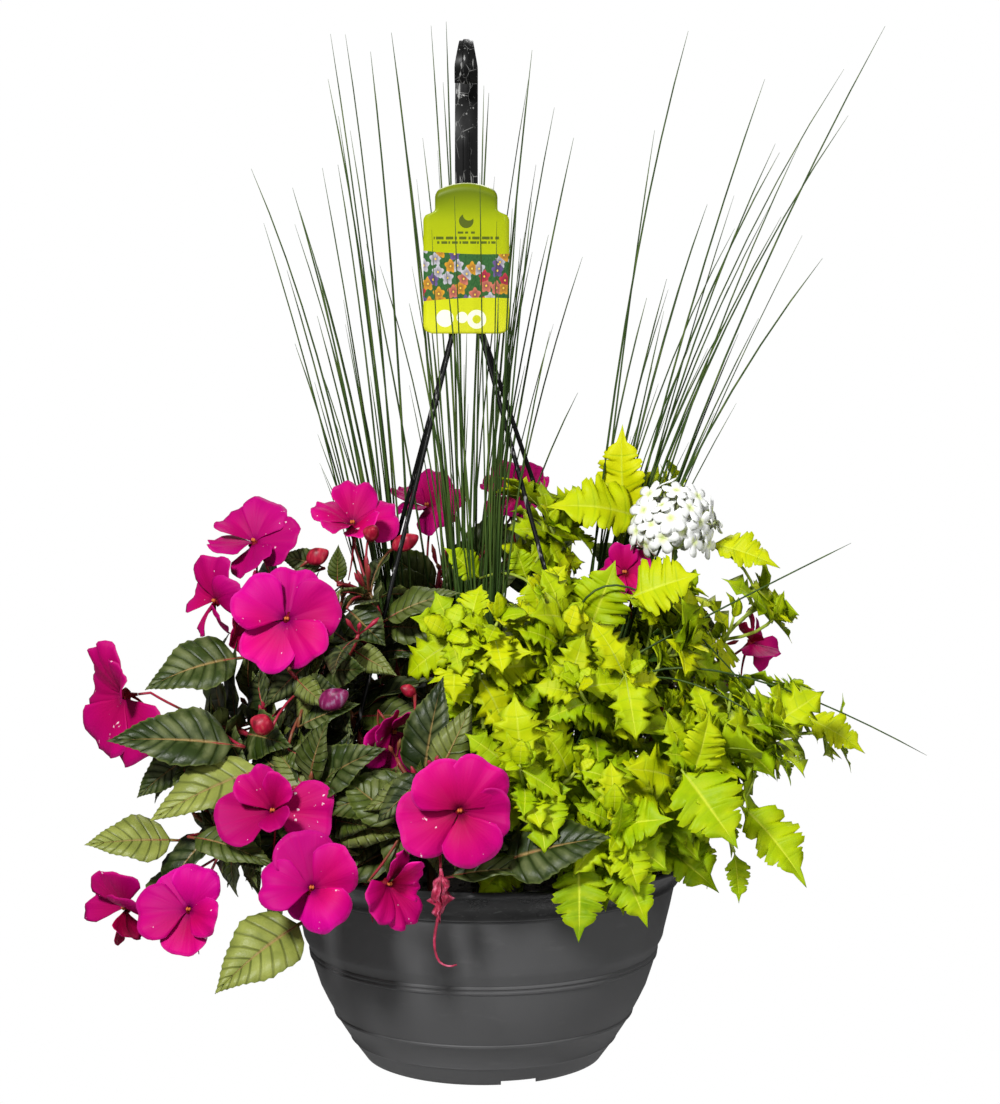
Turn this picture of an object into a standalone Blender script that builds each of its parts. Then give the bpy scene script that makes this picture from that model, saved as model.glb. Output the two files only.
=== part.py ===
"""A mixed hanging basket: a moulded pot on four strands, with rushes, impatiens, coleus and verbena.

Metres, +Z up. The origin is where the hook bears on its bar and the view side is -Y. Places in the
plant lists are millimetres from the centre of the pot's rim: right, away from the viewer, up.
"""
import math
import random

import bmesh
import bpy
from mathutils import Matrix, Vector
from mathutils.bvhtree import BVHTree

MM = 0.001
GAP = 0.3 * MM            # between pieces that meet
CLEARANCE = 0.45 * MM     # between leaves, stems and whatever they pass
UP = Vector((0, 0, 1))

# Pot and soil: (radius, height above the rim plane) in millimetres
RIM_DROP = 580 * MM       # hook bearing to rim plane
POT_OFFSET = 12 * MM      # the hanger leans this far to the left of the pot
RIM_CENTRE = Vector((POT_OFFSET, 0, -RIM_DROP))
POT_SIDES = 30
POT_PROFILE = (
    (0, -157), (80, -157), (82, -160), (88, -160), (97, -147), (111, -125), (122, -103), (128.5, -80),
    (132.2, -70.5), (134.2, -66), (144.2, -22), (163.5, -4.5), (166, -2.5), (165, 0), (161.5, -0.4),
    (142, -19), (136.4, -44), (119, -103), (85, -154), (0, -154),
)
DRAINS, DRAIN_RING, DRAIN_RADIUS = 4, 50 * MM, 5 * MM
SOIL_PROFILE = ((0, -153.6), (84.2, -153.6), (118.2, -103), (139.4, -26), (0, -11))
HOLE_FLOOR = -46

# Hanger
STRAND_RADIUS = 1.7 * MM
KNOB_RADIUS = 4.2 * MM
RIM_HOLE = (154.5, -10.4)   # radius and height at the middle of the flare's wall
STRAND_AZIMUTHS = {"back_left": 146, "front_left": -139, "front_right": -47, "back_right": 33}
CROOK_RADIUS = 15.5 * MM    # to the middle of the strip
STRIP_HALF = 3.5 * MM       # half the strip's thickness
STRIP_WIDTH, APEX_WIDTH, RIB_WIDTH = 16.5 * MM, 12 * MM, 5 * MM
YOKE_TOP, YOKE_FOOT = -166 * MM, -184 * MM
YOKE_SIZE = (17.5 * MM, 15.5 * MM)
SOCKET_PLACE = (5.2 * MM, 4.8 * MM)
SOCKET_DEPTH = 6 * MM

# Tag
TAG_FRONT = -13 * MM
TAG_THICK = 0.8 * MM
TAG_BOTTOM, TAG_SHOULDER, TAG_FOLD = -203 * MM, -116 * MM, -100 * MM
TAG_HALF, NECK_HALF = 31 * MM, 22.5 * MM
SLOT_HALF = 9.2 * MM
SHANK_CLEAR = 5.0 * MM      # from the shank's middle to the slot's long sides


def at(x, y, z):
    """A place in millimetres from the rim's centre."""
    return RIM_CENTRE + Vector((x, y, z)) * MM


def material(name, colour, roughness):
    paint = bpy.data.materials.new(name)
    paint.use_nodes = True
    shader = paint.node_tree.nodes["Principled BSDF"]
    shader.inputs["Base Color"].default_value = (*colour, 1)
    shader.inputs["Roughness"].default_value = roughness
    return paint


for old in list(bpy.data.objects):
    bpy.data.objects.remove(old)
basket = bpy.data.collections.new("mixed_hanging_basket")
cutters = bpy.data.collections.new("cutters")
bpy.context.scene.collection.children.link(basket)
bpy.context.scene.collection.children.link(cutters)

POT_PLASTIC = material("pot_plastic", (0.065, 0.066, 0.07), 0.55)
HANGER_PLASTIC = material("hanger_plastic", (0.012, 0.012, 0.013), 0.35)
POTTING_MIX = material("potting_mix", (0.035, 0.024, 0.017), 0.95)
LIME_CARD = material("lime_card", (0.46, 0.6, 0.02), 0.4)
RUSH_GREEN = material("rush_green", (0.05, 0.16, 0.04), 0.5)
LEAF_GREEN = material("leaf_green", (0.035, 0.12, 0.03), 0.45)
LIME_LEAF = material("lime_leaf", (0.42, 0.6, 0.01), 0.5)
MAGENTA_PETAL = material("magenta_petal", (0.75, 0.0, 0.26), 0.5)
SPENT_PETAL = material("spent_petal", (0.3, 0.01, 0.06), 0.6)
WHITE_PETAL = material("white_petal", (0.85, 0.86, 0.82), 0.5)
STEM_GREEN = material("stem_green", (0.22, 0.4, 0.08), 0.5)


# Objects, meshes and joining

def add_object(name, mesh, paint):
    piece = bpy.data.objects.new(name, mesh)
    mesh.materials.clear()
    mesh.materials.append(paint)
    basket.objects.link(piece)
    return piece


def mesh_of(shape):
    """A mesh of a shape, which is a pair of lists: places and faces."""
    mesh = bpy.data.meshes.new("shape")
    mesh.from_pydata(shape[0], [], shape[1])
    return mesh


def evaluated_mesh(piece):
    return bpy.data.meshes.new_from_object(piece.evaluated_get(bpy.context.evaluated_depsgraph_get()))


def shape_of(piece):
    bpy.context.view_layer.update()
    mesh = evaluated_mesh(piece)
    return [piece.matrix_world @ v.co for v in mesh.vertices], [tuple(p.vertices) for p in mesh.polygons]


def turned(name, profile, paint):
    """A solid turned from (radius, height) points that start and end on the axis, below first."""
    mesh = bpy.data.meshes.new(name)
    points = [(radius * MM, 0, height * MM) for radius, height in reversed(profile)]
    mesh.from_pydata(points, [(i, i + 1) for i in range(len(points) - 1)], [])
    piece = add_object(name, mesh, paint)
    piece.location = RIM_CENTRE
    screw = piece.modifiers.new("Turn", "SCREW")
    screw.steps = screw.render_steps = POT_SIDES
    screw.use_merge_vertices = True
    screw.merge_threshold = 0.00001
    return piece


def cylinder_cutter(name, start, end, radius, sides):
    """A hidden cylinder between two places."""
    along = end - start
    mesh = bpy.data.meshes.new(name)
    bm = bmesh.new()
    bmesh.ops.create_cone(bm, cap_ends=True, segments=sides, radius1=radius, radius2=radius,
                          depth=along.length)
    bm.to_mesh(mesh)
    bm.free()
    cutter = bpy.data.objects.new(name, mesh)
    turn = along.to_track_quat("Z", "X").to_matrix().to_4x4()
    cutter.matrix_world = Matrix.Translation((start + end) / 2) @ turn
    cutter.hide_render = True
    cutter.display_type = "WIRE"
    return cutter


def cut_holes(piece, holes):
    """Holes by one Boolean difference on a collection of cutters."""
    group = bpy.data.collections.new(piece.name + "_cutters")
    cutters.children.link(group)
    for cutter in holes:
        group.objects.link(cutter)
    cut = piece.modifiers.new("Holes", "BOOLEAN")
    cut.operation = "DIFFERENCE"
    cut.operand_type = "COLLECTION"
    cut.collection = group


def keep_outer_body(mesh):
    """Drops loose scraps and sealed hollows: all but the largest connected shell stays out."""
    bm = bmesh.new()
    bm.from_mesh(mesh)
    bmesh.ops.remove_doubles(bm, verts=bm.verts, dist=0.000002)
    bmesh.ops.dissolve_degenerate(bm, edges=bm.edges, dist=0.000002)
    bmesh.ops.triangulate(bm, faces=bm.faces)
    unseen, shells = set(bm.faces), []
    while unseen:
        shell = [unseen.pop()]
        for face in shell:
            near = {other for edge in face.edges for other in edge.link_faces} & unseen
            unseen -= near
            shell.extend(near)
        shells.append(shell)
    shells.sort(key=lambda shell: sum(face.calc_area() for face in shell))
    for shell in shells[:-1]:
        bmesh.ops.delete(bm, geom=shell, context="FACES")
    bm.to_mesh(mesh)
    bm.free()


def fuse(name, shapes, paint, solver="MANIFOLD"):
    """One body from the first shape and all that are rooted in it."""
    piece = add_object(name, mesh_of(shapes[0]), paint)
    if len(shapes) > 1:
        group = bpy.data.collections.new(name + "_parts")
        cutters.children.link(group)
        for index, shape in enumerate(shapes[1:]):
            group.objects.link(bpy.data.objects.new(f"{name}_{index}", mesh_of(shape)))
        union = piece.modifiers.new("Union", "BOOLEAN")
        union.operation = "UNION"
        union.operand_type = "COLLECTION"
        union.collection = group
        union.solver = solver
        joined = evaluated_mesh(piece)
        piece.modifiers.clear()
        piece.data = joined
        for part in list(group.objects):
            bpy.data.objects.remove(part)
        bpy.data.collections.remove(group)
    keep_outer_body(piece.data)
    piece.data.materials.clear()
    piece.data.materials.append(paint)
    return piece


# Shapes: stems are lofts between rings of unlike size, and blades are thin solids from their cut edge

def stalk(points, radii, sides, twist=0.0):
    """A tapering stem through the points; a last radius of 0 makes a pointed tip."""
    side = (points[1] - points[0]).orthogonal()
    places, faces = [], []
    rings = len(points) - (radii[-1] == 0)
    for index in range(rings):
        ahead = points[min(index + 1, len(points) - 1)] - points[max(index - 1, 0)]
        side = (side - side.project(ahead)).normalized()
        other = ahead.normalized().cross(side)
        for corner in range(sides):
            angle = twist + math.tau * corner / sides
            places.append(points[index] + (side * math.cos(angle) + other * math.sin(angle)) * radii[index])
    for ring in range(rings - 1):
        for corner in range(sides):
            low, next_low = ring * sides + corner, ring * sides + (corner + 1) % sides
            faces.append((low, next_low, next_low + sides, low + sides))
    faces.append(tuple(reversed(range(sides))))
    last = (rings - 1) * sides
    if radii[-1] == 0:
        places.append(points[-1])
        faces += [(last + c, last + (c + 1) % sides, len(places) - 1) for c in range(sides)]
    else:
        faces.append(tuple(range(last, last + sides)))
    return places, faces


def curve_points(start, bend, end, steps):
    """Points along the curve that leaves the start towards the bend and comes to the end from it."""
    return [start.lerp(bend, t).lerp(bend.lerp(end, t), t) for t in (i / steps for i in range(steps + 1))]


def blade(edge, ribs, length, width, thick, droop=0.0, fold=0.0, wave=0.0):
    """A thin leaf along +Y that faces +Z, from (along, out) edge points of unit size.

    It bends down over its length by the droop angle, its halves rise by the fold, and
    neighbouring edge points are waved up and down.
    """
    def lay(along, out, rise):
        angle = droop * along
        reach = length * (math.sin(angle) / droop if droop else along)
        sink = length * ((1 - math.cos(angle)) / droop if droop else 0)
        lift = rise + abs(out) * width * fold
        return Vector((out * width, reach + lift * math.sin(angle), lift * math.cos(angle) - sink))

    bm = bmesh.new()
    rib = [bm.verts.new(lay(along, 0, 0)) for along in ribs]
    rims = []
    for hand in (1, -1):
        rim = [bm.verts.new(lay(along, hand * out, wave * width * out * (-1) ** i))
               for i, (along, out) in enumerate(edge[:-1])] + [rib[-1]]
        rims.append(rim)
        i = j = 0
        while i < len(rim) - 2 or j < len(rib) - 1:
            step_rim = j == len(rib) - 1 or (i < len(rim) - 2 and edge[i + 1][0] <= ribs[j + 1])
            corners = [rib[j], rim[i], rim[i + 1] if step_rim else rib[j + 1]]
            bm.faces.new(corners if hand > 0 else corners[::-1])
            i, j = (i + 1, j) if step_rim else (i, j + 1)
    bm.faces.new((rims[0][0], rib[0], rims[1][0]))
    bm.normal_update()
    for vert in bm.verts:
        vert.co += vert.normal * thick / 2
    bmesh.ops.solidify(bm, geom=bm.verts[:] + bm.edges[:] + bm.faces[:], thickness=thick)
    bmesh.ops.triangulate(bm, faces=bm.faces)
    bm.verts.index_update()
    shape = [vert.co.copy() for vert in bm.verts], [tuple(v.index for v in face.verts) for face in bm.faces]
    bm.free()
    return shape


def moved(shape, matrix):
    return [matrix @ place for place in shape[0]], shape[1]


def frame(place, along, facing):
    """The matrix that sets a blade's root at a place, its length along one way, its face another."""
    along = along.normalized()
    side = along.cross(facing).normalized()
    return Matrix.Translation(place) @ Matrix((side, along, side.cross(along))).transposed().to_4x4()


class Bed:
    """What stands already, each with its owner's name, and whether something new clears it."""

    def __init__(self):
        self.standing = []

    @staticmethod
    def reach(places):
        return Vector(map(min, zip(*places))), Vector(map(max, zip(*places)))

    def add(self, owner, shape):
        self.standing.append((owner, *self.reach(shape[0]), BVHTree.FromPolygons(*shape)))

    def clears(self, shape, besides=()):
        low, high = self.reach(shape[0])
        tree = None
        for owner, its_low, its_high, its_tree in self.standing:
            if owner in besides or any(low[i] > its_high[i] or high[i] < its_low[i] for i in range(3)):
                continue
            tree = tree or BVHTree.FromPolygons(*shape)
            if tree.overlap(its_tree):
                return False
        return True


bed = Bed()


# Strands: each runs from its socket in the yoke straight to the rim and ends in a knob outside the flare

def strand_line(azimuth):
    angle = math.radians(azimuth)
    out = Vector((math.cos(angle), math.sin(angle), 0))
    rim = RIM_CENTRE + out * RIM_HOLE[0] * MM + UP * RIM_HOLE[1] * MM
    mouth = Vector((math.copysign(SOCKET_PLACE[0], out.x), math.copysign(SOCKET_PLACE[1], out.y), YOKE_FOOT))
    along = (rim - mouth).normalized()
    return mouth, rim, along


def make_strand(side, azimuth):
    """The strand, and the cutters of its socket and of its hole in the rim."""
    mouth, rim, along = strand_line(azimuth)
    reaches = [(mouth - along * SOCKET_DEPTH, 1), (mouth.lerp(rim, 0.5), 1), (rim + along * 6 * MM, 1),
               (rim + along * 7 * MM, KNOB_RADIUS / STRAND_RADIUS), (rim + along * 12 * MM, 1.6)]
    curve = bpy.data.curves.new("strand_" + side, "CURVE")
    curve.dimensions = "3D"
    curve.bevel_depth = STRAND_RADIUS
    curve.bevel_resolution = 1
    curve.use_fill_caps = True
    spline = curve.splines.new("POLY")
    spline.points.add(len(reaches) - 1)
    for point, (place, swell) in zip(spline.points, reaches):
        point.co = (*place, 1)
        point.radius = swell
    shaped = bpy.data.objects.new("strand_curve", curve)
    cutters.objects.link(shaped)
    mesh = evaluated_mesh(shaped)
    bpy.data.objects.remove(shaped)
    bm = bmesh.new()
    bm.from_mesh(mesh)
    bmesh.ops.remove_doubles(bm, verts=bm.verts, dist=0.00001)
    bmesh.ops.recalc_face_normals(bm, faces=bm.faces)
    bm.to_mesh(mesh)
    bm.free()
    piece = add_object("strand_" + side, mesh, HANGER_PLASTIC)
    bed.add(piece.name, shape_of(piece))
    socket = cylinder_cutter("socket_" + side, mouth - along * (SOCKET_DEPTH + GAP), mouth + along * 4 * MM,
                             STRAND_RADIUS + 0.55 * MM, 8)
    hole = cylinder_cutter("rim_hole_" + side, rim - along * 9 * MM, rim + along * 9 * MM,
                           STRAND_RADIUS + 0.55 * MM, 8)
    return socket, hole


# Hook: a flat strip with a raised rib, bent round the bar, on a shank that ends in a yoke for the strands

def strip(points, widths, inner, outer):
    """A band of rectangular section along a line in the YZ plane, with its reach to either face."""
    places, faces = [], []
    for index, point in enumerate(points):
        ahead = (points[min(index + 1, len(points) - 1)] - points[max(index - 1, 0)]).normalized()
        inward = Vector((1, 0, 0)).cross(ahead)
        half = widths[index] / 2
        corners = ((-half, -outer[index]), (half, -outer[index]), (half, inner[index]), (-half, inner[index]))
        places += [point + Vector((x, 0, 0)) + inward * reach for x, reach in corners]
    for ring in range(len(points) - 1):
        for corner in range(4):
            low, next_low = ring * 4 + corner, ring * 4 + (corner + 1) % 4
            faces.append((low, low + 4, next_low + 4, next_low))
    last = 4 * (len(points) - 1)
    faces += [(0, 1, 2, 3), (last + 3, last + 2, last + 1, last)]
    return places, faces


def make_hook(sockets):
    centre = Vector((0, 0, STRIP_HALF - CROOK_RADIUS))
    shank = [Vector((0, 0, YOKE_TOP - 2 * MM)), Vector((0, 0, -66 * MM)), Vector((0, 5 * MM, -48 * MM)),
             Vector((0, 13 * MM, -31 * MM))]
    crook = [centre + Vector((0, math.cos(a), math.sin(a))) * CROOK_RADIUS
             for a in (math.radians(d) for d in range(-5, 221, 25))]
    line = shank + crook
    narrow = [1 if i < len(shank) else max(0, 1 - abs(i - len(shank) - 4) / 2.5) for i in range(len(line))]
    widths = [STRIP_WIDTH] * len(shank)
    widths += [STRIP_WIDTH + (APEX_WIDTH - STRIP_WIDTH) * n for n in narrow[len(shank):]]
    flat = [STRIP_HALF] * len(line)
    rib_inner = [STRIP_HALF + 1 * MM] * 3 + [STRIP_HALF - 1 * MM] * (len(line) - 3)
    rib_outer = [STRIP_HALF + 1 * MM] * len(line)
    band = strip(line, widths, flat, flat)
    rib = strip(line, [RIB_WIDTH] * len(line), rib_inner, rib_outer)
    yoke_half = [YOKE_SIZE[1] / 2, YOKE_SIZE[1] / 2, STRIP_HALF - 1 * MM]
    yoke = strip([Vector((0, 0, z)) for z in (YOKE_FOOT, YOKE_TOP - 3 * MM, YOKE_TOP + 6 * MM)],
                 [YOKE_SIZE[0], YOKE_SIZE[0], STRIP_WIDTH - 2 * MM], yoke_half, yoke_half)
    hook = fuse("hook", [band, rib, yoke], HANGER_PLASTIC, "EXACT")
    cut_holes(hook, sockets)
    bed.add("hook", shape_of(hook))


# Tag: a lime card, folded back at its neck, with a slot that the shank passes through

def make_tag():
    fold = [Vector((TAG_FRONT + 5 * MM * (1 - math.cos(a)), TAG_FOLD + 5 * MM * math.sin(a)))
            for a in (math.radians(d) for d in (30, 60, 90))]
    back = -SHANK_CLEAR
    outline = ((TAG_BOTTOM, TAG_HALF - 5 * MM), (TAG_BOTTOM + 1.5 * MM, TAG_HALF - 1.5 * MM),
               (TAG_BOTTOM + 5 * MM, TAG_HALF), (TAG_SHOULDER - 5 * MM, TAG_HALF),
               (TAG_SHOULDER - 1.5 * MM, TAG_HALF - 1.5 * MM), (TAG_SHOULDER, NECK_HALF + 3 * MM),
               (TAG_SHOULDER + 3 * MM, NECK_HALF), (TAG_FOLD, NECK_HALF))
    rows = [(TAG_FRONT, height, half) for height, half in outline]
    rows += [(place.x, place.y, NECK_HALF) for place in fold]
    top = fold[-1].y
    slot_row = len(rows)
    rows += [(back, top, NECK_HALF), (-back, top, NECK_HALF),
             (-back + 6 * MM, top - 1 * MM, NECK_HALF - 2 * MM)]
    bm = bmesh.new()
    grid = [[bm.verts.new((x, y, z)) for x in (-half, -SLOT_HALF, SLOT_HALF, half)] for y, z, half in rows]
    for row in range(len(rows) - 1):
        for column in range(3):
            if (row, column) != (slot_row, 1):
                bm.faces.new((grid[row][column], grid[row][column + 1], grid[row + 1][column + 1],
                              grid[row + 1][column]))
    mesh = bpy.data.meshes.new("tag")
    bm.to_mesh(mesh)
    bm.free()
    tag = add_object("tag", mesh, LIME_CARD)
    card = tag.modifiers.new("Card", "SOLIDIFY")
    card.thickness = TAG_THICK
    card.offset = -1
    bed.add("tag", shape_of(tag))


# Rushes: thin round blades in bunches, each bunch from one crown in the soil

BLADE_SIDES, BLADE_STEPS = 3, 4
CROWN_RADIUS, CROWN_TOP = 9.5 * MM, 6
ROOT_DEPTH = 9 * MM         # from the crown's top down to a blade's root in it
RUSH_ATTEMPTS = 120
RUSHES = {
    # bunch: foot, tips
    "rushes_left": ((-56, 42), (
        (-171, 40, 496), (-164, 65, 456), (-141, 45, 482), (-138, 80, 465), (-142, 70, 366), (-125, 60, 387),
        (-96, 50, 346), (-115, 60, 562), (-112, 40, 594), (-103, 80, 596), (-98, 45, 524), (-87, 40, 582),
        (-150, 110, 420), (-110, 120, 500))),
    "rushes_back": ((-14, 62), (
        (-68, 60, 596), (-39, 75, 602), (-28, 90, 606), (4, 62, 552), (36, 55, 583), (53, 80, 542),
        (67, 60, 519), (-60, 120, 520), (0, 130, 560), (40, 120, 500), (-90, 130, 440), (80, 110, 430),
        (-20, 105, 480), (20, 90, 440), (72, 70, 329))),
    "rushes_front": ((4, -40), (
        (21, -44, 467), (25, -36, 482), (35, -30, 472), (-52, -50, 400), (-26, -52, 425), (2, -58, 380),
        (-38, -46, 350), (12, -40, 410), (48, -44, 380))),
    "rushes_right": ((66, 34), (
        (149, 20, 595), (126, 40, 524), (204, 10, 560), (214, 30, 514), (219, 50, 508), (232, 20, 517),
        (293, 30, 599), (269, 50, 535), (216, 0, 461), (247, 10, 431), (182, 60, 386), (190, 30, 375),
        (155, 60, 436), (138, 80, 414), (125, 90, 399), (119, 90, 308), (170, 110, 470), (210, 90, 430))),
}
ARCH_FOOT = (46, -30)
ARCHES = (                # the places that each blade leans over, out to its tip
    ((40, -44, 150), (110, -62, 230), (206, -70, 105)),
    ((60, -60, 120), (150, -70, 175), (263, -60, 230)),
    ((70, -50, 130), (190, -80, 150), (318, -70, 78)),
    ((60, -70, 90), (120, -110, 160), (190, -150, 120)),
)


def rush_crown(place):
    return stalk([at(*place, HOLE_FLOOR + 2), at(*place, -12), at(*place, CROWN_TOP)],
                 [CROWN_RADIUS, CROWN_RADIUS, 0.8 * CROWN_RADIUS], 6)


def rush_blade(points, girth, spare=0.0):
    """A blade that tapers to a point, or, with some spare, the room that it needs round it."""
    last = len(points) - 1
    radii = [girth * (1 - 0.62 * i / last) + spare for i in range(last)] + [spare and spare + 0.4 * MM]
    return stalk(points, radii, BLADE_SIDES)


def arch_tries(name, index, rise, over, tip):
    """The ways that an arching blade may take, from its crown up, over and out: its points and girth."""
    turn = index * math.pi / 2 + 0.4
    root = at(*ARCH_FOOT, CROWN_TOP) + Vector((math.cos(turn), math.sin(turn), 0)) * 0.5 * CROWN_RADIUS
    for attempt in range(RUSH_ATTEMPTS):
        draw = random.Random(f"{name} {index} {attempt}")
        stray = Vector([draw.uniform(-1, 1) for _ in range(3)]) * 0.9 * MM * attempt
        rise_at, over_at = at(*rise) + stray, at(*over) + stray
        middle = rise_at.lerp(over_at, 0.5)
        points = curve_points(root, rise_at, middle, 3)[:-1]
        points += curve_points(middle, over_at, at(*tip) + 0.3 * stray, 4)
        points[0] = points[0] - UP * ROOT_DEPTH
        yield points, 1.1 * MM


def rush_tries(name, index, place, tip):
    """The ways that an upright blade may stand, from its crown to its tip: its points and girth."""
    tip = at(*tip)
    for attempt in range(RUSH_ATTEMPTS):
        draw = random.Random(f"{name} {index} {attempt}")
        turn, out = draw.uniform(0, math.tau), draw.uniform(0.2, 0.72) * CROWN_RADIUS
        root = at(*place, CROWN_TOP) + Vector((math.cos(turn), math.sin(turn), 0)) * out
        bend = root.lerp(tip, draw.uniform(0.2, 0.4))
        bend.z = root.z + (tip.z - root.z) * draw.uniform(0.5, 0.62)
        stray = Vector((draw.uniform(-3, 3), draw.uniform(-14, 14), 0)) * 0.04 * MM * attempt
        points = curve_points(root, bend + stray, tip + stray, BLADE_STEPS)
        points[0] = points[0] - UP * ROOT_DEPTH
        yield points, draw.uniform(0.85, 1.15) * MM


def make_rushes(name, place, ways):
    """A bunch: each blade takes the first of its ways that is clear, and all are rooted in one crown."""
    crown = rush_crown(place)
    shapes = [crown]
    for index, tries in enumerate(ways):
        for points, girth in tries:
            if bed.clears(rush_blade(points, girth, CLEARANCE), (name + " crown",)):
                shapes.append(rush_blade(points, girth))
                bed.add(name, shapes[-1])
                break
        else:
            print("no room for", name, index)
    bed.add(name + " crown", crown)
    fuse(name, shapes, RUSH_GREEN)


# Blooms: (place of the throat), (way it faces), size across, cup
BLOOMS = {
    "bloom_big": ((-138, -88, 179), (-0.12, -0.95, 0.22), 84, 0.10),
    "bloom_top_left": ((-166, -24, 226), (-0.42, -0.32, 0.85), 76, 0.30),
    "bloom_left_dark": ((-192, -44, 186), (-0.88, -0.42, 0.05), 66, 0.25),
    "bloom_far_left": ((-258, -50, 118), (-0.97, -0.2, -0.08), 92, 0.25),
    "bloom_top": ((-96, 4, 236), (-0.08, -0.3, 0.95), 72, 0.35),
    "bloom_behind": ((-44, 112, 238), (-0.1, 0.2, 0.97), 66, 0.3),
    "bloom_behind_right": ((22, 118, 246), (0.1, -0.15, 0.98), 66, 0.3),
    "bloom_lower_left": ((-145, -142, 52), (-0.12, -0.84, 0.5), 82, 0.2),
    "bloom_rim": ((-116, -178, 6), (-0.05, -0.9, 0.42), 80, 0.22),
    "bloom_front": ((-15, -188, 62), (0.02, -0.98, 0.12), 84, 0.12),
    "bloom_folded_front": ((-64, -190, 12), (0.72, -0.68, 0.05), 68, 0.3),
    "bloom_low_left": ((-205, -132, -20), (-0.15, -0.93, 0.3), 72, 0.2),
    "bloom_lowest_left": ((-254, -92, -28), (-0.86, -0.42, -0.25), 66, 0.3),
    "bloom_far_right": ((203, 62, 140), (0.62, -0.5, 0.55), 56, 0.4),
    "bloom_under_verbena": ((104, -10, 202), (-0.3, -0.85, 0.4), 50, 0.3),
    "bloom_hanging": ((-63, -112, 104), (0.55, -0.5, -0.66), 58, 0.7),
    "bloom_back_left": ((-172, 112, 150), (-0.6, 0.7, 0.35), 76, 0.2),
    "bloom_back": ((-52, 182, 96), (-0.1, 0.94, 0.3), 78, 0.2),
}
PETAL_OUTLINE = ((-33, 0.66, -0.05), (-21, 0.95, -0.03), (20, 0.99, 0.03), (36, 0.72, 0.06))
PETAL_TURNS = (90, 162, 234, 306, 18)
PETAL_SIZES = (1.0, 0.96, 0.88, 0.88, 0.96)
PETAL_THICK = 0.8 * MM
THROAT = 3.2 * MM
BLOOM_DEPTH = 9 * MM


SPENT_TOP, SPENT_DROOP = (-28, -186, 22), (0.05, -0.3, -0.95)   # where it hangs, and which way


def bloom_seat(name):
    """Where a bloom's stalk ends, and the way it points there."""
    if name == "spent_bloom":
        return at(*SPENT_TOP), Vector(SPENT_DROOP).normalized()
    place, facing, *_ = BLOOMS[name]
    facing = Vector(facing).normalized()
    return at(*place) - facing * BLOOM_DEPTH, facing


def make_bloom(name, place, facing, across, cup):
    """Five petals, each with one side over its neighbour, round a throat with its tube behind."""
    facing = Vector(facing).normalized()
    upright = UP - UP.project(facing) if abs(facing.z) < 0.95 else Vector((0, 1, 0.1))
    stance = frame(at(*place), upright, facing)
    reach = across * MM / 2
    bm = bmesh.new()

    def ring_vert(degrees, radius, rise):
        angle = math.radians(degrees)
        return bm.verts.new((radius * math.cos(angle), radius * math.sin(angle), rise))

    throat = [ring_vert(turn + 36, THROAT, 0) for turn in PETAL_TURNS]
    middle = bm.verts.new((0, 0, -2 * MM))
    outline = []
    for index, (turn, size) in enumerate(zip(PETAL_TURNS, PETAL_SIZES)):
        before, after = throat[index - 1], throat[index]
        bm.faces.new((middle, before, after))
        petal = [ring_vert(turn + swing, reach * size * out, reach * (cup * out + step))
                 for swing, out, step in PETAL_OUTLINE]
        bm.faces.new((before, petal[0], petal[1]))
        bm.faces.new((before, petal[1], after))
        bm.faces.new((after, petal[1], petal[2]))
        bm.faces.new((after, petal[2], petal[3]))
        outline.append(petal)
    for index in range(len(outline)):
        bm.faces.new((throat[index], outline[index][-1], outline[(index + 1) % len(outline)][0]))
    bm.normal_update()
    for vert in bm.verts:
        vert.co += vert.normal * PETAL_THICK / 2
    bmesh.ops.solidify(bm, geom=bm.verts[:] + bm.edges[:] + bm.faces[:], thickness=PETAL_THICK)
    bm.faces.ensure_lookup_table()
    behind = [face for face in bm.faces
              if len(face.verts) == 3 and max(v.co.xy.length for v in face.verts) < THROAT * 1.3
              and face.normal.z < 0]
    tube = bmesh.ops.extrude_face_region(bm, geom=behind)["geom"]
    tube_verts = [part for part in tube if isinstance(part, bmesh.types.BMVert)]
    bmesh.ops.delete(bm, geom=behind, context="FACES")
    for vert in tube_verts:
        vert.co = (vert.co.x * 0.6, vert.co.y * 0.6, -BLOOM_DEPTH)
    bmesh.ops.triangulate(bm, faces=bm.faces)
    bmesh.ops.transform(bm, matrix=stance, verts=bm.verts)
    mesh = bpy.data.meshes.new(name)
    bm.to_mesh(mesh)
    bm.free()
    bed.add(name, shape_of(add_object(name, mesh, MAGENTA_PETAL)))


# Leafy stems: foot, top, how many leaves, longest leaf, blooms carried

IMPATIENS = {
    "impatiens_1": ((-66, -58), (-126, -68, 150), 5, 84, ("bloom_big",)),
    "impatiens_2": ((-84, -22), (-150, -14, 176), 5, 80, ("bloom_top_left", "bloom_left_dark")),
    "impatiens_3": ((-104, -26), (-198, -52, 96), 6, 92, ("bloom_far_left",)),
    "impatiens_4": ((-106, -56), (-190, -100, 30), 6, 92, ("bloom_low_left", "bloom_lowest_left")),
    "impatiens_5": ((-84, -88), (-132, -128, 66), 6, 92, ("bloom_lower_left", "bloom_rim")),
    "impatiens_6": ((-36, -104), (-42, -146, 70), 6, 92,
                    ("bloom_front", "bloom_folded_front", "bloom_hanging", "spent_bloom")),
    "impatiens_7": ((-44, -28), (-84, -22, 190), 5, 70, ("bloom_top",)),
    "impatiens_8": ((-46, 74), (-34, 108, 190), 4, 80, ("bloom_behind", "bloom_behind_right")),
    "impatiens_9": ((-92, 78), (-150, 96, 116), 5, 88, ("bloom_back_left",)),
    "impatiens_10": ((-44, 112), (-60, 158, 86), 5, 88, ("bloom_back",)),
    "impatiens_11": ((112, 36), (160, 62, 130), 4, 64, ("bloom_far_right", "bloom_under_verbena")),
}
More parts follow.
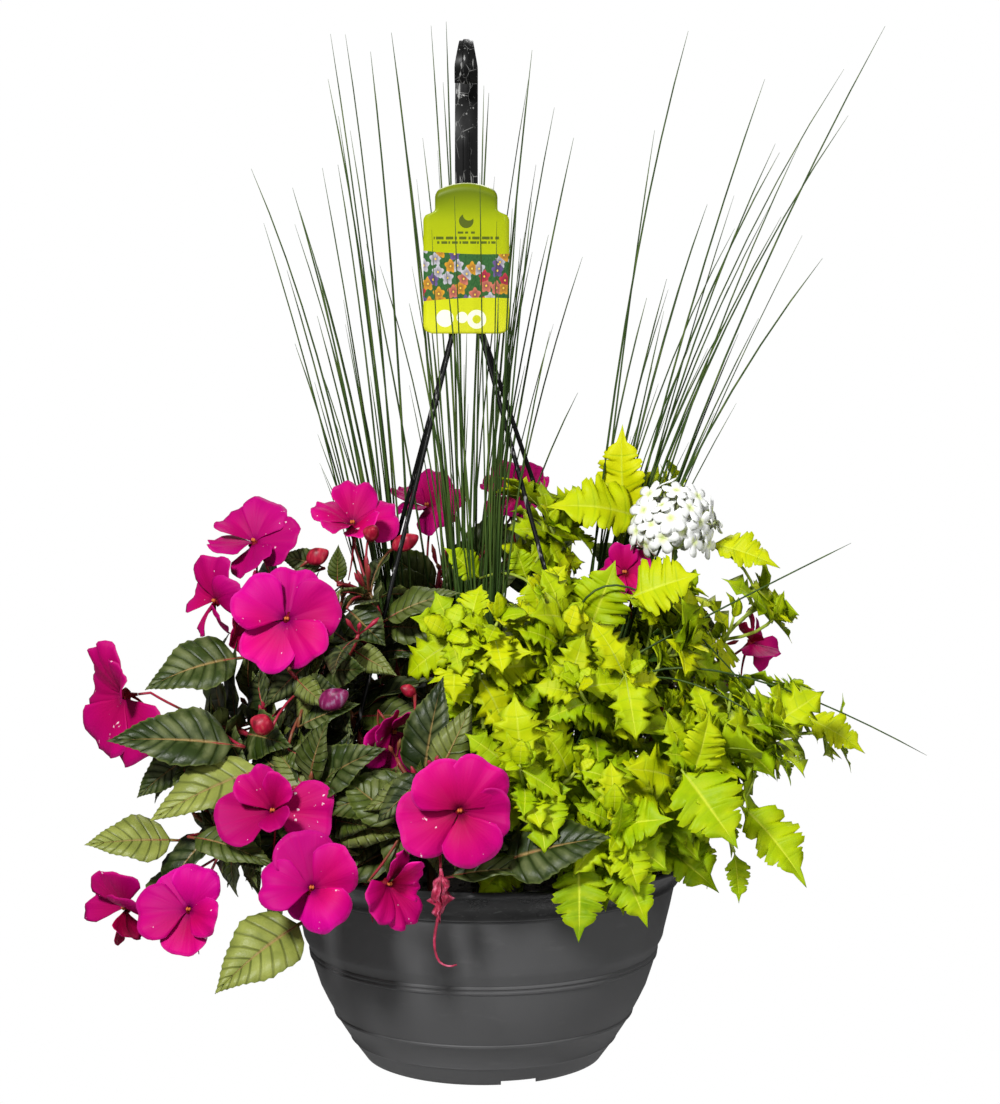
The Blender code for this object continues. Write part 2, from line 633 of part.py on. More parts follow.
COLEUS = {
    "coleus_1": ((6, -84), (-8, -96, 176), 6, 58),
    "coleus_2": ((30, -50), (44, -62, 196), 6, 60),
    "coleus_3": ((44, 4), (60, 14, 236), 5, 62),
    "coleus_4": ((94, 32), (112, 64, 252), 5, 62),
    "coleus_5": ((88, -24), (152, -44, 166), 6, 66),
    "coleus_6": ((122, 6), (206, 2, 176), 5, 60),
    "coleus_7": ((62, -84), (94, -118, 138), 6, 62),
    "coleus_8": ((26, -112), (40, -168, 74), 6, 68),
    "coleus_9": ((70, -108), (92, -172, 40), 6, 70),
    "coleus_10": ((98, -78), (146, -142, 76), 6, 84),
    "coleus_11": ((118, -48), (200, -90, 92), 6, 72),
    "coleus_12": ((126, -18), (256, -26, 86), 6, 62),
    "coleus_13": ((100, 72), (156, 116, 128), 5, 72),
    "coleus_14": ((52, 104), (64, 160, 104), 5, 72),
}
IMPATIENS_EDGE = ((0.0, 0.009), (0.13, 0.024), (0.34, 0.2), (0.56, 0.235), (0.79, 0.125), (1.0, 0.0))
IMPATIENS_RIBS = (0.42, 1.0)
COLEUS_EDGE = ((0.0, 0.011), (0.27, 0.35), (0.37, 0.19), (0.6, 0.42), (0.7, 0.17), (1.0, 0.0))
COLEUS_RIBS = (0.5, 1.0)
SMALL_EDGE = ((0.0, 0.014), (0.34, 0.36), (0.47, 0.17), (0.68, 0.3), (1.0, 0.0))
SMALL_RIBS = (0.4, 1.0)
LEAF_THICK = 0.8 * MM
LARGE_LEAF = 50 * MM
STEM_SIDES, STEM_STEPS = 4, 5
STALK_RADIUS = 0.95 * MM
ATTEMPTS, STALK_ATTEMPTS = 40, 200


def stem_lines(name, foot, top):
    """The ways that a stem may take, straightest first: from its hole in the soil, up and then out."""
    root, crown = at(*foot, -14), at(*top)
    bend = root.lerp(crown, 0.35)
    bend.z = root.z + 0.78 * (crown.z - root.z) + 0.22 * (crown - root).xy.length
    for attempt in range(ATTEMPTS):
        draw = random.Random(f"{name} stem {attempt}")
        stray = Vector([draw.uniform(-1, 1) for _ in range(3)]) * 1.2 * MM * attempt
        line = curve_points(root, bend + stray, crown + stray * 0.3, STEM_STEPS)
        yield [at(*foot, HOLE_FLOOR + 2)] + line


def along_line(points, share):
    """The place and the direction at a share of a line's steps."""
    step = min(int(share * (len(points) - 1)), len(points) - 2)
    part = share * (len(points) - 1) - step
    return points[step].lerp(points[step + 1], part), (points[step + 1] - points[step]).normalized()


def leaf_tries(name, index, line, share, turn, length, spread):
    """The poses that a leaf may take, nearest to its natural one first: matrix, length, droop, fold."""
    root, ahead = along_line(line, share)
    root_reach = 0.6 * MM
    out = Vector((root.x - RIM_CENTRE.x, root.y, 0))
    out = out.normalized() if out.length > 20 * MM else Vector((0, -1, 0))
    facing = (ahead * 0.55 + out * 0.75 + UP * 0.25).normalized()
    across = facing.orthogonal().normalized()
    for attempt in range(ATTEMPTS):
        draw = random.Random(f"{name} {index} {attempt}")
        loose = attempt / ATTEMPTS
        angle = turn + draw.uniform(-1, 1) * (0.3 + 1.6 * loose)
        rise = spread + draw.uniform(-0.35, 0.35) * (1 + loose)
        radial = Matrix.Rotation(angle, 3, facing) @ across
        along = radial * math.cos(rise) + facing * math.sin(rise)
        face = facing * math.cos(rise) - radial * math.sin(rise)
        face += radial.cross(facing) * draw.uniform(-0.35, 0.35)
        size = length * draw.uniform(0.86, 1.08) * (1 - 0.4 * loose)
        droop, fold = draw.uniform(0.35, 0.95), draw.uniform(0.1, 0.3)
        yield frame(root + radial * root_reach, along, face), size, droop, fold


def add_leaves(name, line, shapes, count, longest, edges, opposite, from_share, taper=0.42):
    """Leaves up the stem, in pairs or in a spiral, each in the first pose that clears its neighbours."""
    for index in range(count):
        level = index // 2 if opposite else index
        levels = (count + 1) // 2 if opposite else count
        share = from_share + (0.985 - from_share) * (level / max(1, levels - 1)) ** 0.8
        turn = (level * math.pi / 2 + math.pi * (index % 2) + 0.8) if opposite else index * 2.4
        young = level / max(1, levels - 1)
        length = longest * MM * (1 - taper * young)
        edge, ribs = edges[0] if length > LARGE_LEAF else edges[-1]
        spread = 0.1 + 0.5 * young
        for matrix, size, droop, fold in leaf_tries(name, index, line, share, turn, length, spread):
            thin, fat = (blade(edge, ribs, size, size, thick, droop, fold, 0.1)
                         for thick in (LEAF_THICK, LEAF_THICK + 2 * CLEARANCE))
            if bed.clears(moved(fat, matrix), (name + " stem",)):
                shapes.append(moved(thin, matrix))
                bed.add(name, shapes[-1])
                break
        else:
            print("no room for leaf", name, index)


def make_stem(name, foot, top, radius):
    """The stem alone: its line and its shape, on the first way that is clear."""
    radii = [radius] * 2 + [radius * (1 - 0.5 * (i + 1) / STEM_STEPS) for i in range(STEM_STEPS)]
    for line in stem_lines(name, foot, top):
        if bed.clears(stalk(line, [r + CLEARANCE for r in radii], STEM_SIDES)):
            break
    else:
        print("no way for the stem of", name)
    shape = stalk(line, radii, STEM_SIDES)
    bed.add(name + " stem", shape)
    return line, shape


def flower_stalk_tries(name, line, bloom):
    """The ways that a thin stalk may take from the stem's upper part to the back of a bloom."""
    seat, facing = bloom_seat(bloom)
    end = seat - facing * GAP
    behind = end - facing * 9 * MM
    for attempt in range(STALK_ATTEMPTS):
        draw = random.Random(f"{name} {bloom} {attempt}")
        start, _ = along_line(line, draw.uniform(0.6, 0.97))
        stray = Vector([draw.uniform(-1, 1) for _ in range(3)]) * (6 + 0.3 * attempt) * MM
        bend = start.lerp(behind, draw.uniform(0.4, 0.8)) + stray
        yield curve_points(start, bend, behind, 3) + [end]


def flower_stalk(name, line, bloom):
    for points in flower_stalk_tries(name, line, bloom):
        room = stalk(points[:-1], [STALK_RADIUS + CLEARANCE] * (len(points) - 1), 3)
        if bed.clears(room, (name + " stem",)):
            thin = stalk(points, [STALK_RADIUS] * len(points), 3)
            bed.add(name, thin)
            return [thin]
    print("no way for the stalk of", bloom)
    return []


# Verbena: a dome of five-lobed florets on a core, on its own stem with a few narrow leaves

VERBENA_FOOT, VERBENA_HEAD = (104, -4), (138, -22, 236)
HEAD_CORE = 23 * MM
HEAD_REACH = 31 * MM
FLORETS = 20
FLORET_SIZE = 15.5 * MM
NARROW_EDGE = ((0.0, 0.02), (0.3, 0.1), (0.42, 0.07), (0.6, 0.11), (1.0, 0.0))
NARROW_RIBS = (0.5, 1.0)


def floret(root, end, face):
    """A five-sided tube from the core that opens into five rounded lobes."""
    stance = frame(end, face.orthogonal(), face)
    tube = 1.1 * MM
    places, faces = [], []
    for corner in range(5):
        angle = math.tau * corner / 5
        around = stance.to_3x3() @ Vector((math.cos(angle), math.sin(angle), 0)) * tube
        places += [root + around, end - face * 1.2 * MM + around]
    for corner in range(10):
        angle = math.tau * corner / 10
        reach, rise = ((0.52, 0.7 * MM), (0.2, 0.2 * MM))[corner % 2]
        reach *= FLORET_SIZE
        places.append(stance @ Vector((math.cos(angle) * reach, math.sin(angle) * reach, rise)))
    places.append(stance @ Vector((0, 0, 0.3 * MM)))
    faces.append((8, 6, 4, 2, 0))
    for corner in range(5):
        low, next_low = 2 * corner, 2 * ((corner + 1) % 5)
        lobe, notch, next_lobe = 10 + 2 * corner, 11 + 2 * corner, 10 + (2 * corner + 2) % 10
        faces += [(low, next_low, next_low + 1, low + 1), (low + 1, next_low + 1, notch),
                  (low + 1, notch, lobe), (next_low + 1, next_lobe, notch),
                  (20, lobe, notch), (20, notch, next_lobe)]
    return places, faces


def make_verbena():
    centre = at(*VERBENA_HEAD)
    bm = bmesh.new()
    bmesh.ops.create_icosphere(bm, subdivisions=1, radius=HEAD_CORE, matrix=Matrix.Translation(centre))
    bm.verts.index_update()
    shapes = [([v.co.copy() for v in bm.verts], [tuple(v.index for v in f.verts) for f in bm.faces])]
    bm.free()
    golden = math.pi * (3 - math.sqrt(5))
    for index in range(FLORETS):
        height = 1 - 1.35 * (index + 0.5) / FLORETS
        around = math.sqrt(1 - height * height)
        out = Vector((around * math.cos(index * golden), around * math.sin(index * golden), height))
        face = out.lerp(Vector((0, -1, 0.4)).normalized(), 0.15).normalized()
        end = centre + out * HEAD_REACH
        shapes.append(floret(centre + out * (HEAD_CORE - 5 * MM), end, face))
    head = fuse("verbena_head", shapes, WHITE_PETAL)
    bed.add("verbena_head", shape_of(head))


def make_verbena_stem(line, shape):
    name = "verbena_stem"
    shapes = [shape]
    add_leaves(name, line, shapes, 4, 46, ((NARROW_EDGE, NARROW_RIBS),), True, 0.4)
    fuse(name, shapes, STEM_GREEN)


# Spent bloom: a few shrivelled petals and a long curled spur, below the front bloom

def make_spent_bloom():
    shapes = [stalk([at(*SPENT_TOP), at(-27, -189, 4), at(-28, -190, -8)], [1.2 * MM, 3.2 * MM, 1.4 * MM], 5)]
    spur = [at(-28, -190, -6), at(-33, -191, -20), at(-34, -192, -32), at(-28, -193, -42), at(-18, -194, -44)]
    shapes.append(stalk(spur, [1.2 * MM, 0.9 * MM, 0.8 * MM, 0.7 * MM, 0.6 * MM], 3))
    for turn in (0.4, 2.6, 4.7):
        petal = blade(SMALL_EDGE, SMALL_RIBS, 22 * MM, 20 * MM, PETAL_THICK, droop=1.4, fold=0.5)
        out = Vector((math.cos(turn), math.sin(turn) * 0.6, -0.75))
        shapes.append(moved(petal, frame(at(-27.5, -189.5, 6), out, Vector((0, 0, 1)) + out * 0.4)))
    spent = fuse("spent_bloom", shapes, SPENT_PETAL)
    bed.add("spent_bloom", shape_of(spent))


# Holes in the pot's floor and in the soil

def drain(index):
    """The cutter of one of the drain holes, which stand in a ring round the floor's middle."""
    angle = math.tau * (index + 0.5) / DRAINS
    middle = RIM_CENTRE + Vector((math.cos(angle), math.sin(angle), 0)) * DRAIN_RING
    return cylinder_cutter(f"drain_{index}", middle - UP * 165 * MM, middle - UP * 150 * MM, DRAIN_RADIUS, 8)


def soil_hole(name, foot, inner_radius):
    """A five-sided cutter that holds a round of the inner radius."""
    radius = inner_radius / math.cos(math.pi / 5)
    return cylinder_cutter("soil_hole_" + name, at(*foot, HOLE_FLOOR), at(*foot, 10), radius, 5)


def build():
    cut = {side: make_strand(side, azimuth) for side, azimuth in STRAND_AZIMUTHS.items()}
    make_hook([socket for socket, _ in cut.values()])
    make_tag()

    pot = turned("pot", POT_PROFILE, POT_PLASTIC)
    cut_holes(pot, [drain(index) for index in range(DRAINS)] + [hole for _, hole in cut.values()])
    bed.add("pot", shape_of(pot))

    for name, details in BLOOMS.items():
        make_bloom(name, *details)
    make_spent_bloom()
    make_verbena()

    holes = []
    stems = {}
    for name, (foot, top, *_) in {**IMPATIENS, **COLEUS}.items():
        radius = 3.2 * MM if name in IMPATIENS else 2.4 * MM
        stems[name] = make_stem(name, foot, top, radius)
        holes.append(soil_hole(name, foot, radius + 0.45 * MM))
    neck = (*VERBENA_HEAD[:2], VERBENA_HEAD[2] - (HEAD_CORE + GAP) / MM)
    stems["verbena_stem"] = make_stem("verbena_stem", VERBENA_FOOT, neck, 1.8 * MM)
    holes.append(soil_hole("verbena", VERBENA_FOOT, 1.8 * MM + 0.45 * MM))

    stalks = {name: [shape for bloom in blooms for shape in flower_stalk(name, stems[name][0], bloom)]
              for name, (*_, blooms) in IMPATIENS.items()}

    for name, (place, tips) in RUSHES.items():
        make_rushes(name, place, [rush_tries(name, index, place, tip) for index, tip in enumerate(tips)])
        holes.append(soil_hole(name, place, CROWN_RADIUS + 0.45 * MM))
    name = "rushes_arching"
    make_rushes(name, ARCH_FOOT, [arch_tries(name, index, *arch) for index, arch in enumerate(ARCHES)])
    holes.append(soil_hole(name, ARCH_FOOT, CROWN_RADIUS + 0.45 * MM))

    soil = turned("soil", SOIL_PROFILE, POTTING_MIX)
    cut_holes(soil, holes)
    bed.add("soil", shape_of(soil))

    make_verbena_stem(*stems["verbena_stem"])
    for name, (_, _, count, longest, _) in IMPATIENS.items():
        line, shape = stems[name]
        shapes = [shape] + stalks[name]
        add_leaves(name, line, shapes, count, longest, ((IMPATIENS_EDGE, IMPATIENS_RIBS),), False, 0.45, 0.15)
        fuse(name, shapes, LEAF_GREEN)
    for name, (_, _, count, longest) in COLEUS.items():
        line, shape = stems[name]
        shapes = [shape]
        add_leaves(name, line, shapes, count, longest, ((COLEUS_EDGE, COLEUS_RIBS), (SMALL_EDGE, SMALL_RIBS)),
                   True, 0.42)
        fuse(name, shapes, LIME_LEAF)


build()
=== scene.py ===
# %% [markdown]
# # A mixed hanging basket
#
# A moulded pot hangs by four thin strands from a black hook. Rushes stand in its middle, magenta impatiens
# fill the left side, lime coleus the right side, and one white verbena head looks out between them.
# The plain solids of all these pieces are loaded first. They say where everything is, so this lesson
# only has to make the finer shapes and the finishes, and it never guesses a place twice.

# %% The solids and the tools
import math
import random
from collections import Counter

import bpy
import numpy as np
from mathutils import Matrix, Vector, noise
from mathutils.bvhtree import BVHTree


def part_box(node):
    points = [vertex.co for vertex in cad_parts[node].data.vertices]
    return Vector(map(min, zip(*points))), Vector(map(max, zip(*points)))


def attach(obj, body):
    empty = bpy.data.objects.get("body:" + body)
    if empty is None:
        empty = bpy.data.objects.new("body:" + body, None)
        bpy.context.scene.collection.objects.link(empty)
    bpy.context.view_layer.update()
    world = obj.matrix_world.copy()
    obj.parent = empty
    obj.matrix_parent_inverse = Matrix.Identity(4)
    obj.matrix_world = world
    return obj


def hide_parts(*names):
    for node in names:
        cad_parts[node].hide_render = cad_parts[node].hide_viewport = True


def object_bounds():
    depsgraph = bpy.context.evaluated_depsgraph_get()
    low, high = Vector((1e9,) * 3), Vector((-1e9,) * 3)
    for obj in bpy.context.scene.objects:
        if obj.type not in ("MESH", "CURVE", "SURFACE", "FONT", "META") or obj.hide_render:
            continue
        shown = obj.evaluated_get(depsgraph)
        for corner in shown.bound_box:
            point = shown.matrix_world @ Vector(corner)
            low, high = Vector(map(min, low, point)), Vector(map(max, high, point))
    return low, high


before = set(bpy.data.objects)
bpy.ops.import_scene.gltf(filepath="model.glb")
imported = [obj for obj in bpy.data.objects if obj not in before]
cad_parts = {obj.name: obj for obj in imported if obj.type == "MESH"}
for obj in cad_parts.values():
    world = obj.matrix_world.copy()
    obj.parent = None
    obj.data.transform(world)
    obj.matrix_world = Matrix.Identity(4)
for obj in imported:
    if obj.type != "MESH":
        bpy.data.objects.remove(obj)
cad_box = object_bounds()
print("solids:", len(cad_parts), "box in metres:", [round(x, 3) for x in (*cad_box[0], *cad_box[1])])

# %% [markdown]
# ## The camera
#
# A long lens far away flattens the basket a little, as in a catalogue picture. It stands in front at the
# height of the tag and looks down by a few degrees, so the pot's rim shows as a thin ellipse.

# %% Camera
LENS, SENSOR = 96.1, 36.0           # millimetres
CAMERA_PLACE = (0.0243, -2.149, -0.11)
LOOK_DOWN = 6.73                    # degrees
FAR_CLIP = 200                      # metres

bpy.ops.object.camera_add(location=CAMERA_PLACE, rotation=(math.radians(90 - LOOK_DOWN), 0, 0))
camera = bpy.context.object
camera.data.lens, camera.data.sensor_width = LENS, SENSOR
camera.data.clip_end = FAR_CLIP
bpy.context.scene.camera = camera
bpy.context.scene.view_settings.view_transform = "Standard"

# %% [markdown]
# ## Light and floor
#
# Product pictures are cut out on white. The light is hard enough to leave dark gaps between the leaves: one
# strong lamp above and to the left, two weaker ones to the right and behind, and a sky that is dim below.
# The floor is a plain pale disc, far enough down to stay out of the picture.

# %% Floor
FLOOR_DROP, FLOOR_RADIUS = 1.5, 3.0   # metres

bpy.ops.mesh.primitive_circle_add(vertices=64, radius=FLOOR_RADIUS, fill_type="NGON",
                                  location=(0, 0, cad_box[0].z - FLOOR_DROP))
floor = bpy.context.object
floor.name = "floor"
bpy.ops.object.transform_apply(location=True, rotation=True, scale=True)
floor_sheet = bpy.data.materials.new("floor_sheet")
floor_sheet.use_nodes = True
floor_shader = floor_sheet.node_tree.nodes["Principled BSDF"]
floor_shader.inputs["Base Color"].default_value = (0.8, 0.8, 0.8, 1)
floor_shader.inputs["Roughness"].default_value = 0.9
floor.data.materials.append(floor_sheet)

# %% Lights
MIDDLE = Vector((0, 0, -0.4))       # of the basket


def area_light(name, place, size, power):
    """A square light at a place, turned to face the middle of the basket."""
    bpy.ops.object.light_add(type="AREA", location=place)
    lamp = bpy.context.object
    lamp.name, lamp.data.size, lamp.data.energy = name, size, power
    lamp.rotation_euler = (MIDDLE - Vector(place)).to_track_quat("-Z", "Y").to_euler()


area_light("key", (-1.0, -2.2, 1.3), 0.45, 112)
area_light("fill", (2.0, -2.2, 0.4), 0.9, 30)
area_light("back", (0.6, 2.4, 1.6), 1.2, 34)

world = bpy.data.worlds.new("studio")
bpy.context.scene.world = world
world.use_nodes = True
nodes, link = world.node_tree.nodes, world.node_tree.links.new
sky = nodes["Background"]
backdrop, direction, height, dim, ray, choice = (nodes.new("ShaderNode" + kind) for kind in (
    "Background", "TexCoord", "SeparateXYZ", "MapRange", "LightPath", "MixShader"))
for shade in (sky, backdrop):
    shade.inputs["Color"].default_value = (1, 1, 1, 1)
for key, value in (("From Min", -0.6), ("From Max", 0.9), ("To Min", 0.03), ("To Max", 0.34)):
    dim.inputs[key].default_value = value
link(direction.outputs["Generated"], height.inputs[0])
link(height.outputs["Z"], dim.inputs["Value"])
link(dim.outputs[0], sky.inputs["Strength"])
for socket, source in enumerate((ray.outputs["Is Camera Ray"], sky.outputs[0], backdrop.outputs[0])):
    link(source, choice.inputs[socket])
link(choice.outputs[0], nodes["World Output"].inputs[0])

# %% [markdown]
# ## Writing materials as sums
#
# A finish is mostly arithmetic on a few patterns. Two small classes let that arithmetic be written in
# Python: `Paint` is a material that adds nodes, and `Value` is any node's output, on which the usual
# signs work.

# %% The shader classes
class Value:
    """The output of a node, which can be added, multiplied and compared as a number."""

    def __init__(self, paint, socket):
        self.paint, self.socket = paint, socket

    def math(self, operation, *values, clamp=False):
        settings = {"operation": operation, "use_clamp": clamp}
        return self.paint.node("ShaderNodeMath", settings, dict(enumerate(values)))

    def __add__(self, other):
        return self.math("ADD", self, other)

    def __sub__(self, other):
        return self.math("SUBTRACT", self, other)

    def __rsub__(self, other):
        return self.math("SUBTRACT", other, self)

    def __mul__(self, other):
        return self.math("MULTIPLY", self, other)

    def __gt__(self, other):
        return self.math("GREATER_THAN", self, other)

    def __lt__(self, other):
        return self.math("LESS_THAN", self, other)

    def __pow__(self, other):
        return self.math("POWER", self, other)

    def __abs__(self):
        return self.math("ABSOLUTE", self)

    __radd__, __rmul__ = __add__, __mul__

    def sine(self):
        return self.math("SINE", self)

    def clamped(self):
        return self.math("ADD", self, 0.0, clamp=True)

    def above(self, limit, gain):
        """0 up to a limit, and from there up to 1 by a gain."""
        return ((self - limit) * gain).clamped()

    def below(self, limit, gain):
        """1 well below a limit, and down to 0 at the limit by a gain."""
        return ((limit - self) * gain).clamped()

    def part(self, axis):
        """The X, Y or Z of a place."""
        return self.paint.node("ShaderNodeSeparateXYZ", {}, {0: self}, axis)


class Paint:
    """A material with a Principled shader, and the ways to add nodes to it."""

    def __init__(self, name, **fixed):
        self.material = bpy.data.materials.new(name)
        self.material.use_nodes = True
        self.tree = self.material.node_tree
        self.shader = self.tree.nodes["Principled BSDF"]
        self.set(**fixed)

    def feed(self, socket, value):
        if isinstance(value, Value):
            self.tree.links.new(value.socket, socket)
        else:
            socket.default_value = value

    def node(self, kind, settings=None, sockets=None, output=0):
        made = self.tree.nodes.new(kind)
        for key, value in (settings or {}).items():
            if key == "stops":
                ramp = made.color_ramp
                while len(ramp.elements) < len(value):
                    ramp.elements.new(0.5)
                for element, (place, colour) in zip(ramp.elements, value):
                    element.position, element.color = place, (*colour, 1)
            else:
                setattr(made, key, value)
        for key, value in (sockets or {}).items():
            self.feed(made.inputs[key], value)
        return Value(self, made.outputs[output])

    def set(self, **values):
        """Values of the shader's sockets, with _ for a space in their names."""
        for key, value in values.items():
            name = key.replace("_", " ").title().replace("Ior", "IOR")
            if isinstance(value, tuple) and len(value) == 3 and "Color" in name:
                value = (*value, 1)
            self.feed(self.shader.inputs[name], value)

    def place(self):
        return self.node("ShaderNodeTexCoord", output="Object")

    def chart(self, name):
        """The place on a UV map."""
        return self.node("ShaderNodeUVMap", {"uv_map": name})

    def attribute(self, name):
        return self.node("ShaderNodeAttribute", {"attribute_name": name}, output="Fac")

    def stretched(self, vector, stretch):
        return self.node("ShaderNodeMapping", {}, {"Vector": vector, "Scale": stretch})

    def noise(self, scale, detail, vector=None, stretch=None):
        vector = vector or self.place()
        if stretch:
            vector = self.stretched(vector, stretch)
        return self.node("ShaderNodeTexNoise", {}, {"Vector": vector, "Scale": scale, "Detail": detail})

    def ramp(self, factor, *stops):
        return self.node("ShaderNodeValToRGB", {"stops": stops}, {"Fac": factor})

    def mix(self, factor, first, second):
        first, second = [(*c, 1) if isinstance(c, tuple) else c for c in (first, second)]
        return self.node("ShaderNodeMix", {"data_type": "RGBA"}, {0: factor, 6: first, 7: second}, output=2)

    def bump(self, height, strength, distance):
        return self.node("ShaderNodeBump", {}, {"Height": height, "Strength": strength, "Distance": distance})


# %% [markdown]
# ## Places and lines
#
# The plants are placed in millimetres from the centre of the pot's rim: right, away from the viewer, up.
# The same few rules that placed the plain solids are repeated here. Each stem and leaf had several ways
# that it could take, and took the first that was clear. `nearest_way` finds which one the solid holds,
# by measuring how far each way lies from it, so the fine leaf grows exactly where the plain one stands.

# %% Places
MM = 0.001
UP = Vector((0, 0, 1))
RIM_CENTRE = Vector((12, 0, -580)) * MM


def at(x, y, z):
    return RIM_CENTRE + Vector((x, y, z)) * MM


def compass(angle):
    """The level way at an angle, counted from the right towards the back."""
    return Vector((math.cos(angle), math.sin(angle), 0))


def scatter(draw, reach=1):
    """A random way, with each of its three parts within a reach."""
    return Vector([draw.uniform(-reach, reach) for _ in range(3)])


def attempts(count, *key):
    """The number of each attempt and its own random draws, which a key names."""
    for attempt in range(count):
        yield attempt, random.Random(" ".join(map(str, (*key, attempt))))


def curve_points(start, bend, end, steps):
    """Points along the curve that leaves the start towards the bend and comes to the end from it."""
    return [start.lerp(bend, t).lerp(bend.lerp(end, t), t) for t in (i / steps for i in range(steps + 1))]


def along_line(points, share):
    """The place and the direction at a share of a line's steps."""
    step = min(int(share * (len(points) - 1)), len(points) - 2)
    part = share * (len(points) - 1) - step
    return points[step].lerp(points[step + 1], part), (points[step + 1] - points[step]).normalized()


def stance(place, along, facing):
    """The matrix that sets a blade's root at a place, its length along one way, its face another."""
    along = along.normalized()
    side = along.cross(facing).normalized()
    return Matrix.Translation(place) @ Matrix((side, along, side.cross(along))).transposed().to_4x4()


def tree_of(mesh):
    return BVHTree.FromPolygons([v.co for v in mesh.vertices], [p.vertices[:] for p in mesh.polygons])


solids = {name: tree_of(node.data) for name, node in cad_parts.items()}


def nearest_way(node, ways, probes, limit=1.6 * MM):
    """The way whose probe points lie in the node's solid, or None where the solid skips it.

    Each probe is a point and how far inside the skin it lies when the way is the right one.
    """
    best, least = None, limit
    for way in ways:
        points = probes(way)
        off = sum(abs(solids[node].find_nearest(p)[3] - depth) for p, depth in points) / len(points)
        if off < least:
            best, least = way, off
    return best


# %% [markdown]
# ## Finishing a piece
#
# Every piece ends the same way: its place goes into its mesh, it gets its finish, it is tied to the
# basket, and the plain solids that it stands for are hidden.

# %% Finish and selection
def only(piece):
    """Makes a piece the one that is selected and active."""
    bpy.ops.object.select_all(action="DESELECT")
    piece.select_set(True)
    bpy.context.view_layer.objects.active = piece


def finished(piece, paint, slot, *nodes, smooth=True):
    """Ends a piece: its finish and the plain solids that it stands for, which it hides. Its slot is not used.
    """
    only(piece)
    bpy.ops.object.transform_apply(location=True, rotation=True, scale=True)
    if smooth:
        bpy.ops.object.shade_smooth()
    piece.data.materials.clear()
    piece.data.materials.append(paint.material)
    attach(piece, "root")
    if nodes:
        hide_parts(*nodes)
    return piece


def changed(piece, kind, **values):
    """Applies one modifier, set to some values."""
    only(piece)
    modifier = piece.modifiers.new(kind, kind)
    for key, value in values.items():
        setattr(modifier, key, value)
    bpy.ops.object.modifier_apply(modifier=modifier.name)
    return piece


def mend(merge=None):
    """Ends the editing of a mesh: merges points closer than a distance and turns all faces outwards."""
    bpy.ops.mesh.select_all(action="SELECT")
    if merge:
        bpy.ops.mesh.remove_doubles(threshold=merge)
    bpy.ops.mesh.normals_make_consistent(inside=False)
    bpy.ops.object.mode_set(mode="OBJECT")


def mended(piece, merge=None):
    """The same for a piece that isn't open."""
    only(piece)
    bpy.ops.object.mode_set(mode="EDIT")
    mend(merge)
    return piece


def pick_faces(piece, wanted):
    """Opens a piece for editing with only the faces selected that pass a test."""
    only(piece)
    bpy.context.tool_settings.mesh_select_mode = (False, False, True)
    bpy.ops.object.mode_set(mode="EDIT")
    bpy.ops.mesh.select_all(action="DESELECT")
    bpy.ops.object.mode_set(mode="OBJECT")
    for face in piece.data.polygons:
        face.select = wanted(face)
    bpy.ops.object.mode_set(mode="EDIT")


def linked(name, data):
    """An object in the scene for a mesh or a curve."""
    piece = bpy.data.objects.new(name, data)
    bpy.context.scene.collection.objects.link(piece)
    return piece


def piece_of(name, points, faces=()):
    mesh = bpy.data.meshes.new(name)
    mesh.from_pydata([tuple(p) for p in points], [], list(faces))
    return linked(name, mesh)


def ring_faces(rings, sides):
    """The four-sided faces between rings of points that follow one another."""
    return [(low + c, low + (c + 1) % sides, low + sides + (c + 1) % sides, low + sides + c)
            for low in range(0, (rings - 1) * sides, sides) for c in range(sides)]


def grid(name, columns, rows):
    """A flat grid that reaches from -1 to 1 both ways."""
    bpy.ops.mesh.primitive_grid_add(x_subdivisions=columns, y_subdivisions=rows, size=2, calc_uvs=False)
    piece = bpy.context.object
    piece.name = name
    return piece


def chart(piece, name, places):
    """Gives a piece a UV map, in which each of its points has a place."""
    marks = piece.data.uv_layers.new(name=name)
    for loop in piece.data.loops:
        marks.data[loop.index].uv = places[loop.vertex_index]


def joined(name, pieces):
    """One piece from several, by Blender's join."""
    bpy.ops.object.select_all(action="DESELECT")
    for piece in pieces:
        piece.select_set(True)
    bpy.context.view_layer.objects.active = pieces[0]
    if len(pieces) > 1:
        bpy.ops.object.join()
    pieces[0].name = name
    return pieces[0]


def tubes(name, runs, resolution=1):
    """Round shoots as one curve object, each run a list of points and their radii, made a mesh."""
    curve = bpy.data.curves.new(name, "CURVE")
    curve.dimensions, curve.bevel_depth, curve.bevel_resolution = "3D", 1 * MM, resolution
    curve.use_fill_caps = True
    for points, radii in runs:
        spline = curve.splines.new("POLY")
        spline.points.add(len(points) - 1)
        for point, place, radius in zip(spline.points, points, radii):
            point.co, point.radius = (*place, 1), radius / MM
    only(linked(name, curve))
    bpy.ops.object.convert(target="MESH")
    return mended(bpy.context.object, 0.002 * MM)


def spun(name, profile, sides):
    """A solid of turning: a point is extruded through (radius, height) and the line is spun round."""
    piece = piece_of(name, [Vector((profile[0][0], 0, profile[0][1])) * MM])
    piece.location = RIM_CENTRE
    only(piece)
    bpy.ops.object.mode_set(mode="EDIT")
    bpy.ops.mesh.select_all(action="SELECT")
    for (radius, height), (last_radius, last_height) in zip(profile[1:], profile):
        step = (Vector((radius - last_radius, 0, height - last_height)) * MM)[:]
        bpy.ops.mesh.extrude_region_move(TRANSFORM_OT_translate={"value": step})
    bpy.ops.mesh.select_all(action="SELECT")
    bpy.ops.mesh.spin(steps=sides, angle=math.tau, center=RIM_CENTRE, axis=(0, 0, 1))
    mend(0.02 * MM)
    return piece


